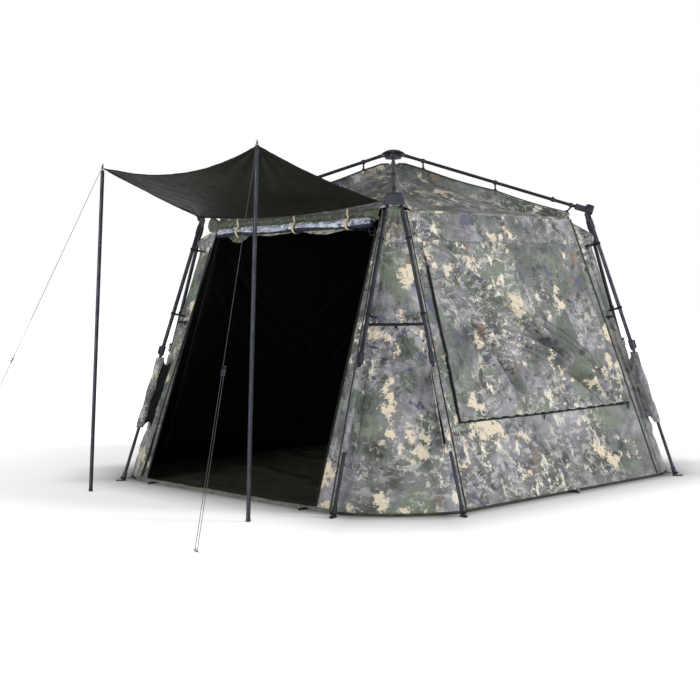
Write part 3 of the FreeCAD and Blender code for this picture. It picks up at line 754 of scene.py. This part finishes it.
for corner, angle in CORNER_ANGLE.items():
    def on_corner(u, v, corner=corner):
        top = EAVE_Z - 0.002 + 0.044 * math.sin(math.pi * u) ** 2
        return corner_point(corner, u, lerp(0.002, top, v))

    def on_corner_hem(u, v, corner=corner):
        return corner_point(corner, u, lerp(0.002, HEM_TALL, v), 0.003)

    body = f"leg_{corner}_1"
    outward = turned((0.94, 0, 0.34), angle)
    panel = grid(f"{corner}_corner_cloth", 64, 150, on_corner, print_corners, body, CLOTH, lining)
    if corner == "front_right":
        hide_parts("corner_panels")
    hem = grid(f"{corner}_corner_hem", 40, 3, on_corner_hem, hem_cloth, body, 0.002)
    vent_path = [(corner_point(corner, lerp(0.03, 0.97, n / 40), VENT_Z, 0.004), outward) for n in range(41)]
    vent = piece(f"{corner}_vent_zip", strip_mesh(vent_path, ZIP_PROFILE), [zip_tape], body)
    # Dark piping runs down both seams.
    piping = bmesh.new()
    for s in (0.0, 1.0):
        path = [(corner_point(corner, s, lerp(0.004, EAVE_Z - 0.01, n / 90), 0.003), outward) for n in range(91)]
        strip_mesh(path, ring_section(0.0045, 0.0045, 8), True, piping)
    piping = piece(f"{corner}_seam_piping", piping, [hem_cloth], body)
    tabs = bmesh.new()
    for s in (0.06, 0.5, 0.94):
        top = corner_point(corner, s, VENT_Z + 0.008, 0.012)
        path = [(top + Vector((0, 0, -0.03)) * n / 4, outward) for n in range(5)]
        strip_mesh(path, ring_section(0.008, 0.003, 10), True, tabs)
    tabs = piece(f"{corner}_vent_tabs", tabs, [webbing], body)
    for obj in (panel, hem, vent, piping, tabs):
        gather(obj)

# ---- roof -----------------------------------------------------------------------------------
# Four gores that meet under the hub, hollow between the arms. The ridges are held up by hooks from
# the arms, so they follow them; dark piping is sewn along each ridge, and the eaves are bound in the print.
ARMS = {"right": "front_right", "back": "back_right", "left": "back_left", "front": "front_left"}
HOOKS = (0.11, 0.51, 0.93)
HUB_RADIUS, HUB_Z, ARM_LENGTH = 0.070, 2.195, 1.300
ARM_SLOPE = math.radians(17.5)
HANG = 0.058                # ridge, below the line of the arm
RIDGE_X = (EAVE_HALF + EAVE_CORNER) / 2


def ridge_z(r):
    """Height of a ridge at a distance r from the middle: it dips a little between its hooks."""
    line = HUB_Z - math.tan(ARM_SLOPE) * (r - HUB_RADIUS) - HANG
    share = (r - HUB_RADIUS) / (ARM_LENGTH * math.cos(ARM_SLOPE))
    dip = 0.0
    for low, high in zip(HOOKS, HOOKS[1:]):
        if low < share < high:
            dip = 0.010 * math.sin(math.pi * (share - low) / (high - low))
    return min(line - dip, APEX_Z - 0.004 * smooth(r / 0.2))


def roof_point(x, t, seed=0.0, out=0.0):
    """A point on the front gore: x across, t from the eave at 0 to the apex at 1."""
    half = lerp(RIDGE_X, 0.0, t)
    share = min(1.0, abs(x) / half) if half > 1e-6 else 1.0
    reach = lerp(EAVE_HALF, 0.0, t) - max(0.0, share * RIDGE_X - EAVE_CORNER) * (1 - t)
    middle = lerp(EAVE_Z, APEX_Z, t) - 0.060 * math.sin(math.pi * t) ** 0.9
    angle = x / half if half > 1e-6 else 0.0
    middle += 0.011 * math.sin(8 * angle + seed + 2.2 * t) * math.sin(math.pi * t) * (1 - share ** 3)
    middle += 0.010 * rumple((x, t, seed), 0.26, seed + 4) * (1 - t) ** 0.5 * smooth(t * 12)
    middle += 0.0035 * rumple((x, t, seed), 0.07, seed + 8) * (1 - t) ** 0.5 * smooth(t * 12)
    for k, lean in enumerate((0.55, 0.30, 0.78)):
        fold = abs(share - lean - 0.25 * t)
        middle -= 0.010 * math.exp(-(fold / 0.05) ** 2) * math.sin(math.pi * min(1.0, t * 1.6 + 0.15 * k)) * (1 - t)
    r = math.hypot(x, reach)
    weight = smooth((share - 0.80) / 0.20) ** 1.5
    return Vector((x, -reach, lerp(middle, ridge_z(r), weight) + out))


for name, corner in ARMS.items():
    def on_gore(u, v, name=name):
        t = min(0.998, v)
        return turned(roof_point((2 * u - 1) * lerp(RIDGE_X, 0.0, t), t, FACING[name] / 90 + 2), FACING[name])

    def on_eave(u, v, name=name):
        flat = roof_point((2 * u - 1) * RIDGE_X, 0.0, FACING[name] / 90 + 2)
        return turned(flat + Vector((0, -0.004, lerp(-0.014, 0.003, v))), FACING[name])

    body = f"arm_{corner}"
    pivot = Vector(joints[FOLD]["pos_m"] if corner == "front_right" else joints[f"roof_fold_{corner}"]["pos_m"])
    gore = grid(f"{name}_roof_gore", 120, 90, on_gore, print_roof_shaded, body, CLOTH, lining)
    if name == "right":
        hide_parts("roof")
    eave = grid(f"{name}_eave_binding", 80, 2, on_eave, print_roof_shaded, body, 0.002)
    ridge = bmesh.new()
    path = []
    for n in range(70):
        r = lerp(0.03, RIDGE_X * math.sqrt(2) - 0.004, n / 69)
        path.append((turned((r, 0, ridge_z(r) + 0.002), CORNER_ANGLE[corner]), Vector((0, 0, 1))))
    strip_mesh(path, [(-0.012, -0.003), (-0.006, 0.0015), (0.0, 0.005), (0.006, 0.0015), (0.012, -0.003)],
               made=ridge)
    ridge = piece(f"{corner}_ridge_binding", ridge, [hem_cloth], body)
    for obj in (gore, eave):
        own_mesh(obj)

    # Hooks: a moulded ring on the arm, a short strap and a tab sewn to the ridge.
    hooks = bmesh.new()
    out_along = turned((math.cos(ARM_SLOPE), 0, -math.sin(ARM_SLOPE)), CORNER_ANGLE[corner])
    hub_pivot = turned((HUB_RADIUS, 0, HUB_Z), CORNER_ANGLE[corner])
    for share in HOOKS:
        on_arm = hub_pivot + out_along * (ARM_LENGTH * share)
        add_ring(hooks, on_arm, out_along, 0.0132, 0.0028, 0.012)
        r = min(math.hypot(on_arm.x, on_arm.y), RIDGE_X * math.sqrt(2) - 0.01)
        base = turned((r, 0, ridge_z(r) + 0.004), CORNER_ANGLE[corner])
        add_rod(hooks, on_arm - Vector((0, 0, 0.012)), base, 0.0060)
        add_ring(hooks, base, turned((0, 1, 0), CORNER_ANGLE[corner]), 0.009, 0.0035, 0.008)
    collar_at = hub_pivot + out_along * (ARM_LENGTH * 0.83)
    add_ring(hooks, collar_at, out_along, 0.0125, 0.003, 0.016)
    add_rod(hooks, collar_at + Vector((0, 0, 0.011)), collar_at + Vector((0, 0, 0.021)), 0.006)
    hooks = piece(f"{corner}_roof_hooks", hooks, [moulding], body)

# ---- front wall ---------------------------------------------------------------------------------
# The front is all door: narrow side strips, a header that the door rolls up under, and a low sill.
# The strips widen toward the ground, and the left one folds out toward its legs.
LEFT_BODY, RIGHT_BODY = "leg_front_left_2", "leg_front_right_1"
DOOR_LEFT, DOOR_RIGHT = (-0.88, -0.835), (0.83, 0.795)     # edges at the ground and at the roll
SEAM_LEFT = (-1.02, -0.885)
DOOR_TOP = 1.695


def front_point(x, z, out=0.0):
    return Vector((x, -half_at(z), z)) + WALL_OUT * out


def left_strip(u, v):
    z = lerp(0.002, DOOR_TOP + 0.05, v)
    inner, outer = lerp(*DOOR_LEFT, min(1.0, z / 1.62)), lerp(*SEAM_LEFT, min(1.0, z / 1.70))
    x = lerp(outer, inner, u)
    round_off = 0.055 * (1 - u) ** 2 * smooth(z / 0.2 + 0.4)
    folds = 0.006 * math.sin(3.0 * math.pi * u + 4 * z) * smooth(z / 0.3) + 0.005 * rumple((x, 0, z), 0.12, 31)
    return front_point(x, z, folds * math.sin(math.pi * min(1.0, u + 0.05))) + Vector((0, round_off, 0))


def right_strip(u, v):
    z = lerp(0.002, DOOR_TOP + 0.05, v)
    inner, outer = lerp(*DOOR_RIGHT, min(1.0, z / 1.62)), cut_at(z)
    x = lerp(inner, outer, u)
    folds = 0.005 * math.sin(2.6 * math.pi * u + 5 * z) * smooth(z / 0.3) + 0.004 * rumple((x, 0, z), 0.12, 37)
    return front_point(x, z, folds * math.sin(math.pi * u))


def header(u, v):
    x = lerp(-0.90, 0.80, u)
    bunch = 0.4 + 0.6 * abs(math.sin(7.0 * u + 1.3)) + 0.3 * rumple((x, 0, v), 0.12, 47)
    wave = (0.016 * math.sin(57 * x + 3 * math.sin(11 * x)) + 0.008 * math.sin(96 * x + 9 * v)) * (1 - v) * bunch
    z = lerp(1.690 + 0.007 * math.sin(23 * x), EAVE_Z + 0.008 + 0.035 * math.exp(-((x + 0.87) / 0.07) ** 2), v)
    y = -half_at(z) - 0.012 - 0.016 * math.sin(math.pi * min(1.0, 1.2 - v)) + wave
    return Vector((x, y + 0.004 * rumple((x, 0, z), 0.04, 43), z))


def sill(u, v):
    x = lerp(-1.0, 0.95, u)
    z = lerp(0.002, 0.026, v) + 0.004 * rumple((x, 0, 0), 0.2, 53) * v
    bow = 0.018 * math.sin(math.pi * u)
    return Vector((x, -half_at(0) - 0.004 - bow + 0.012 * v, z))


for title, place, body in (("left_door_strip", left_strip, LEFT_BODY), ("right_door_strip", right_strip, RIGHT_BODY)):
    strip = grid(title, 14, 150, place, print_corners, body, CLOTH, lining)
    gather(strip)
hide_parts("wall_front")
door_header = grid("door_header", 260, 12, header, sage_cloth, RIGHT_BODY, CLOTH)
door_sill = grid("door_sill", 120, 4, sill, pale_hem, RIGHT_BODY, 0.002)
edge_zips = bmesh.new()
for edge, shift in ((DOOR_LEFT, 0.004), (DOOR_RIGHT, -0.004)):
    path = []
    for n in range(90):
        z = lerp(0.03, 1.60, n / 89)
        path.append((front_point(lerp(*edge, min(1.0, z / 1.62)) + shift, z, 0.003), WALL_OUT))
    strip_mesh(path, ZIP_PROFILE, made=edge_zips)
door_zips = piece("door_side_zips", edge_zips, [zip_tape], RIGHT_BODY)
for obj in (door_header, door_sill, door_zips):
    gather(obj)

# ---- rolled-up door -----------------------------------------------------------------------------
# The door is rolled up with its clear film outside: crinkled film over dark cloth, an edge of pale
# cloth that sags out under it, and a flap that droops at the left. Toggled webbing holds it.
ROLL_Y, ROLL_Z, ROLL_HALF = -0.95, 1.665, 0.765
TIES = (-0.52, 0.06, 0.56)
film, tree, shader = material("crinkled_clear_film")
# Soft PVC film in many layers, bluish: its colour runs with a noise from dark navy to near white,
# painted shade and painted highlights that stand in for its reflections. The same noise and the
# facets crinkle it, and its low roughness gives sharp broken glints.
where = add(tree, "TexCoord").outputs["Object"]
facets = add(tree, "TexVoronoi", {"Vector": where, "Scale": 55.0, "Randomness": 1.0}).outputs["Distance"]
painted_glints_and_crinkle = noise_value(tree, where, 24.0, 5.0, 0.7)
tree.links.new(ramped(tree, painted_glints_and_crinkle, (0.34, "#3d4453"), (0.47, "#8f98a8"), (0.62, "#d3dae4")),
               shader.inputs["Base Color"])
height = add(tree, "Math", {0: facets, 1: painted_glints_and_crinkle}, operation="ADD").outputs[0]
bump = add(tree, "Bump", {"Height": height, "Strength": 0.9, "Distance": 0.012})
tree.links.new(bump.outputs["Normal"], shader.inputs["Normal"])
shader.inputs["Roughness"].default_value = 0.12
shader.inputs["Coat Weight"].default_value = 0.6


def pinch(x):
    """How much a tie squeezes the roll at x."""
    return max(math.exp(-((x - tie) / 0.035) ** 2) for tie in TIES)


def roll_radius(x, angle, base):
    ends = 1 - 0.25 * smooth((abs(x) - (ROLL_HALF - 0.05)) / 0.05)
    swell = 1 - 0.22 * pinch(x) + 0.06 * math.sin(13 * x)
    crinkle = 0.0045 * rumple((x * 2.0, math.cos(angle) * 0.03, math.sin(angle) * 0.03), 0.02, 61)
    ridge = 0.0030 * rumple((x, math.cos(angle) * 0.12, math.sin(angle) * 0.12), 0.03, 67)
    return base * ends * swell + crinkle + ridge


def on_film(u, v):
    x = lerp(-0.740, ROLL_HALF, u)
    angle = math.radians(lerp(-22, 158, v) + 14 * math.sin(9 * x))
    r = roll_radius(x, angle, 0.029)
    droop = 0.006 * math.sin(math.pi * ((x - 0.06) / 0.58) % math.pi) ** 2
    return Vector((x, ROLL_Y - r * math.cos(angle), ROLL_Z + 0.004 + r * math.sin(angle) - droop * 0.5))


def on_core(u, v):
    x = lerp(-ROLL_HALF + 0.005, ROLL_HALF - 0.005, u)
    angle = 2 * math.pi * v
    r = roll_radius(x, angle, 0.0265)
    return Vector((x, ROLL_Y - r * math.cos(angle) + 0.002, ROLL_Z - 0.004 + r * math.sin(angle)))


film_roll = grid("door_film_roll", 420, 40, on_film, film, RIGHT_BODY, 0.0006)
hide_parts("door_roll")
core_mesh = sheet_mesh(300, 24, on_core)
bmesh.ops.remove_doubles(core_mesh, verts=core_mesh.verts, dist=1e-6)
bmesh.ops.holes_fill(core_mesh, edges=core_mesh.edges, sides=0)
bmesh.ops.recalc_face_normals(core_mesh, faces=core_mesh.faces)
navy_cloth = dark_cloth("navy_coated_polyester", "#14171f", "#262c3a", 0.5, 20.0, 0.5)
core_roll = piece("door_cloth_roll", core_mesh, [navy_cloth], RIGHT_BODY)


def sag_edge(start, end, drop, tilt, seed):
    """A free edge of cloth that hangs under the roll between two places."""
    def place(u, v):
        x = lerp(start, end, u)
        belly = math.sin(math.pi * u) ** 0.8
        z = ROLL_Z - 0.022 - drop * belly * v + 0.004 * rumple((x, 0, v), 0.05, seed)
        y = ROLL_Y - 0.010 - tilt * belly * v + 0.006 * math.sin(26 * u + 4 * v) * v * belly
        return Vector((x, y, z))
    return place


pale_cloth = dark_cloth("pale_grey_cloth", "#6e6c62", "#97948a", 0.6, 30.0, 0.4)
hanging = [grid("door_loose_edge", 60, 10, sag_edge(0.14, 0.56, 0.030, 0.012, 71), pale_cloth,
                RIGHT_BODY, CLOTH),
           grid("door_left_edge", 60, 8, sag_edge(-0.36, 0.03, 0.016, 0.010, 79), pale_cloth,
                RIGHT_BODY, CLOTH),
           grid("door_drooping_flap", 60, 20, sag_edge(-0.63, -0.40, 0.050, 0.010, 73), sage_cloth,
                RIGHT_BODY, CLOTH)]
beige_webbing = dark_cloth("beige_webbing", "#a7997f", "#cdc0a6", 0.75, 60.0)
ties = bmesh.new()
for tie in TIES:
    loop = []
    for n in range(37):
        angle = math.radians(-10 * n + 90)
        outward = Vector((0, -math.cos(angle), math.sin(angle)))
        loop.append((Vector((tie, ROLL_Y, ROLL_Z)) + outward * 0.0335, outward))
    strip_mesh(loop, [(-0.009, 0.0), (-0.009, 0.002), (0.009, 0.002), (0.009, 0.0)], made=ties)
    top = Vector((tie, ROLL_Y - 0.012, ROLL_Z + 0.030))
    rise = [(top + Vector((0.004 * math.sin(n), -0.004, 0.065 * n / 8)), Vector((0, -1, 0))) for n in range(9)]
    strip_mesh(rise, ring_section(0.007, 0.0016), True, ties)
    add_rod(ties, Vector((tie - 0.018, ROLL_Y - 0.030, ROLL_Z + 0.030)),
            Vector((tie + 0.018, ROLL_Y - 0.030, ROLL_Z + 0.026)), 0.005)
ties = piece("door_tie_loops", ties, [beige_webbing], RIGHT_BODY)
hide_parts("door_ties")
loop = []
for n in range(25):
    angle = math.pi * n / 24
    loop.append((Vector((0.755 + 0.028 * math.cos(angle), ROLL_Y + 0.004, 1.640 - 0.052 * math.sin(angle))),
                 Vector((0, -1, 0))))
strap = piece("door_spare_loop", strip_mesh(loop, ring_section(0.0045, 0.0012), True), [webbing], RIGHT_BODY)
for obj in [film_roll, core_roll, ties, strap] + hanging:
    gather(obj)

# ---- leg sleeves and webs -------------------------------------------------------------------------
# Over its lower half each leg runs in a flat sleeve of printed cloth, which a web joins to the seam
# of the corner panel. The webs by a corner's second leg are black on both faces, painted shade where
# they stand in shadow; the webs by its first leg are printed on both faces.
FOOT_Z = 0.0
SLEEVE_FROM, SLEEVE_TO = 0.535, 0.80


def seam_point(corner, number, z, out=0.006):
    return corner_point(corner, 0.15 if number == 1 else 0.91, z, out)


for corner, angle in CORNER_ANGLE.items():
    for number in (1, 2):
        pivot, down = leg_line(corner, number)
        length = pivot.z / -down.z
        body = f"leg_{corner}_{number}"
        radial = turned((1, 0, 0), angle)
        seam = [seam_point(corner, number, (pivot + down * (length * share)).z) for share in (0.5, 0.84)]
        toward = (seam[0] - (pivot + down * (length * 0.5))).normalized()
        outward = (radial - down * radial.dot(down)).normalized()

        def on_sleeve(u, v, pivot=pivot, down=down, length=length, toward=toward):
            share = lerp(SLEEVE_FROM, SLEEVE_TO, v)
            turn = 2 * math.pi * u
            front = down.cross(toward)
            wide, deep = 0.024, 0.0155
            loose = 1 + 0.10 * math.sin(60 * share + 2 * turn) + 0.10 * rumple((u, v, length), 0.1, 5)
            return pivot + down * (length * share) + toward * (math.cos(turn) * wide * loose + 0.004) \
                - front * (math.sin(turn) * deep * (1 + 0.1 * math.sin(41 * share)))

        def on_web(u, v, pivot=pivot, down=down, length=length, toward=toward, corner=corner, number=number):
            share = lerp(SLEEVE_FROM + 0.004, SLEEVE_TO - 0.004, v)
            share += 0.020 * math.sin(math.pi * u) * (1 if v < 0.5 else -1) * abs(2 * v - 1) ** 3
            at_leg = pivot + down * (length * share) + toward * 0.026
            at_seam = seam_point(corner, number, at_leg.z - 0.015)
            ripple = 0.006 * math.sin(9 * math.pi * v + 3 * u) * math.sin(math.pi * u)
            return at_leg.lerp(at_seam, u) + turned((0, ripple, 0), CORNER_ANGLE[corner])

        sleeve_mesh = sheet_mesh(28, 60, on_sleeve)
        bmesh.ops.remove_doubles(sleeve_mesh, verts=sleeve_mesh.verts, dist=1e-6)
        bmesh.ops.recalc_face_normals(sleeve_mesh, faces=sleeve_mesh.faces)
        sleeve = piece(f"{corner}_sleeve_{number}", sleeve_mesh, [print_corners], body)
        wall = sleeve.modifiers.new("thickness", "SOLIDIFY")
        wall.thickness = CLOTH
        wall.offset = 1
        # Painted shade: the second leg's web takes the black lining on both faces.
        web = grid(f"{corner}_web_{number}", 16, 60, on_web, lining if number == 2 else print_corners, body,
                   CLOTH)
        if corner == "front_right" and number == 1:
            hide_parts("leg_webs")
        for obj in (sleeve, web):
            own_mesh(obj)

        # A strap near the top and a clip above the clamp tie the leg to the corner panel.
        clips = bmesh.new()
        for share, reach in ((0.115, 1.0), (0.365, 1.0)):
            on_leg = pivot + down * (length * share)
            add_ring(clips, on_leg, down, 0.0148, 0.0026, 0.008)
            target = seam_point(corner, number, on_leg.z - 0.02, 0.004)
            run = (target - on_leg).normalized()
            path = [(on_leg.lerp(target, 0.0 if n == 0 else n / 8) + run * (0.014 * (1 - n / 8)), outward)
                    for n in range(9)]
            strip_mesh(path, ring_section(0.0075, 0.0016), True, clips)
            add_rod(clips, target - run * 0.030, target - run * 0.008, 0.0055)
        piece(f"{corner}_leg_clips_{number}", clips, [webbing], body)

        # An elastic loop holds the hem to the foot.
        foot = pivot + down * length
        tie_at = corner_point(corner, 0.18 if number == 1 else 0.82, 0.012, 0.004)
        hold = foot + Vector((0, 0, 0.016)) - (foot - tie_at).normalized() * 0.018
        elastic = bmesh.new()
        path = [(tie_at.lerp(hold, n / 10) - Vector((0, 0, 0.006 * math.sin(math.pi * n / 10))), Vector((0, 0, 1)))
                for n in range(11)]
        strip_mesh(path, ring_section(0.006, 0.0016), True, elastic)
        add_ring(elastic, foot + Vector((0, 0, 0.018)), down, 0.0165, 0.0022, 0.005)
        elastic = piece(f"{corner}_foot_elastic_{number}", elastic, [webbing], None)
        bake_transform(elastic)

# ---- groundsheet ----------------------------------------------------------------------------------
# Heavy coated sheet, laid flat with the soft ridges that its folding leaves, its edge hemmed.
SHEET_HALF, SHEET_CORNER = 1.500, 0.948


def on_ground(u, v):
    x, y = lerp(-SHEET_HALF, SHEET_HALF, u), lerp(-SHEET_HALF, SHEET_HALF, v)
    ridge = abs(math.sin(5.2 * (0.35 * x + y) + 0.8 * rumple((x, y, 0), 0.8, 81))) ** 14
    cross = abs(math.sin(3.4 * (x - 0.3 * y) + 0.6 * rumple((x, y, 0), 0.7, 83))) ** 18
    edge = smooth((SHEET_HALF - max(abs(x), abs(y))) / 0.08)
    swell = (0.007 * ridge + 0.006 * cross + 0.0022 * abs(rumple((x, y, 0), 0.16, 87))) * edge
    return Vector((x, y, 0.0018 + swell + 0.007 * smooth((max(abs(x), abs(y)) - SHEET_HALF + 0.02) / 0.02)))


ground = sheet_mesh(200, 200, on_ground)
for corner in CORNER_ANGLE:
    for s in (0.04, 0.12, 0.25, 0.5, 0.75, 0.88, 0.96):
        here, before, after = (corner_point(corner, t, 0.0, -0.003) for t in (s, s - 0.03, s + 0.03))
        bmesh.ops.bisect_plane(ground, geom=ground.verts[:] + ground.edges[:] + ground.faces[:], plane_co=here,
                               plane_no=(after - before).cross(Vector((0, 0, 1))), clear_outer=True)
groundsheet = piece("groundsheet_cloth", ground, [floor_cloth], "hub")
thick = groundsheet.modifiers.new("thickness", "SOLIDIFY")
thick.thickness = 0.0015
thick.offset = -1
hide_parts("groundsheet")

# Webbing loops at the hems take the wall pegs.
loops = bmesh.new()
PEG_OUT = 0.062
for degrees, x in ((90, 0.0), (180, 0.0), (-90, 0.0), (0, -0.76), (0, 0.76)):
    path = []
    for n in range(17):
        turn = math.pi * n / 16
        path.append((turned(Vector((x + 0.012 * math.cos(turn), -BASE_HALF - (PEG_OUT + 0.006) * math.sin(turn),
                                    0.010)), degrees), Vector((0, 0, 1))))
    strip_mesh(path, ring_section(0.0012, 0.005), True, loops)
piece("hem_peg_loops", loops, [webbing], "hub")

# ---- porch sheet ----------------------------------------------------------------------------------
# Dark olive coated polyester on the spikes of two poles: it hangs in shallow curves between its
# corners, with soft folds that run out from each. Its hem is turned over and its corners are eyed.
PORCH_BACK = (0.890, -1.010, 1.782, 0.042)          # half width, y, z, dip
PORCH_FRONT_DIP = 0.092
PORCH_BOW = 0.040


def porch_point(u, v, lift=0.0):
    """u from -1 to 1 across, v from the back edge at 0 to the pole line at 1."""
    half, back_y, back_z, back_dip = PORCH_BACK
    x = u * (lerp(half, POLE_TOP.x, v) - 0.020 * math.sin(math.pi * v))
    arc = 1 - u * u
    y = lerp(back_y, POLE_TOP.y + PORCH_BOW * arc, v)
    z = lerp(back_z - back_dip * arc, POLE_TOP.z + 0.003 - PORCH_FRONT_DIP * arc, v)
    z -= math.sin(math.pi * v) * (0.012 + 0.030 * arc)
    for side in (-1, 1):
        for top, folds in ((Vector((POLE_TOP.x, POLE_TOP.y)), (12, 27, 44, 61, 78)),
                           (Vector((half, back_y)), (-20, -42, -64))):
            away = Vector((side * x - top.x, y - top.y))
            distance = away.length
            if distance < 1e-4:
                continue
            bearing = math.degrees(math.atan2(away.y, -away.x))
            fade = min(1.0, distance / 0.12) * math.exp(-distance / 0.45)
            for fold in folds:
                z += 0.010 * fade * math.exp(-((bearing - fold - 3 * side) / 4.5) ** 2)
    z += 0.004 * rumple((x, y, 0), 0.30, 91) * math.sin(math.pi * v) + 0.0015 * rumple((x, y, 0), 0.08, 93)
    return Vector((x, y, z + lift))


def on_porch(u, v):
    return porch_point(2 * u - 1, v)


porch = grid("porch_cloth", 150, 90, on_porch, olive_cloth, "hub", CLOTH)
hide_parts("porch_sheet")
hems = bmesh.new()
flat_hem = [(-0.010, -0.0030), (-0.010, 0.0016), (0.010, 0.0016), (0.010, -0.0030), (-0.010, -0.0030)]
up = Vector((0, 0, 1))
strip_mesh([(porch_point(lerp(-0.985, 0.985, n / 120), 0.988), up) for n in range(121)], flat_hem, True, hems)
strip_mesh([(porch_point(lerp(-0.985, 0.985, n / 120), 0.012), up) for n in range(121)], flat_hem, True, hems)
for side in (-1, 1):
    strip_mesh([(porch_point(side * 0.988, lerp(0.02, 0.98, n / 80)), up) for n in range(81)], flat_hem, True, hems)
seam = [(porch_point(lerp(0.95, 0.35, n / 80), lerp(0.97, 0.02, n / 80)), up) for n in range(81)]
strip_mesh(seam, [(-0.004, 0.0004), (0.0, 0.0022), (0.004, 0.0004)], made=hems)
hems = piece("porch_hems", hems, [olive_cloth], "hub")
eyes = bmesh.new()
straps = bmesh.new()
for name, side in (("left", -1), ("right", 1)):
    spot = Vector((side * POLE_TOP.x, POLE_TOP.y, POLE_TOP.z + 0.0035))
    lean = (POLE_FOOT * Vector((side, 1, 1)) - spot).normalized()
    add_ring(eyes, spot, lean, 0.0085, 0.0035, 0.0022)
    back = porch_point(side * 0.985, 0.015)
    elbow = turned((1.285, 0, 1.792), CORNER_ANGLE[f"front_{name}"])
    path = [(back.lerp(elbow, n / 8) - Vector((0, 0, 0.004 * math.sin(math.pi * n / 8))), up) for n in range(9)]
    strip_mesh(path, ring_section(0.010, 0.0014), True, straps)
    # The guy line is looped over the spike above the eye and tied.
    top, start, rise, reach, back_side, line, level = guy_tops[name]
    loop = bmesh.new()
    add_ring(loop, top, lean, 0.0058, 0.0016, 0.0016)
    add_ring(loop, top + lean * 0.0034, lean, 0.0058, 0.0016, 0.0016)
    strip_mesh([(top.lerp(start, 0.35 + 0.7 * n / 5), level) for n in range(6)], ring_section(0.0034, 0.0034), True, loop)
    piece(f"guy_loop_{name}", loop, [braid], "hub")
eyes = piece("porch_eyelets", eyes, [steel], "hub")
straps = piece("porch_back_straps", straps, [webbing], "hub")
for obj in (porch, hems, straps):
    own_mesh(obj)

# ---- hub fittings -----------------------------------------------------------------------------------
# Bright pan-head screws hold the hub's cap.
screws = bmesh.new()
for degrees in (0, 90, 180, 270):
    spot = turned((0.050, 0, HUB_Z + 0.013 + 0.0165), degrees)
    tilt = turned((0.38, 0, 1), degrees).normalized()
    add_rod(screws, spot, spot + tilt * 0.0045, 0.0060, 0.0050)
piece("hub_screws", screws, [steel], "hub")
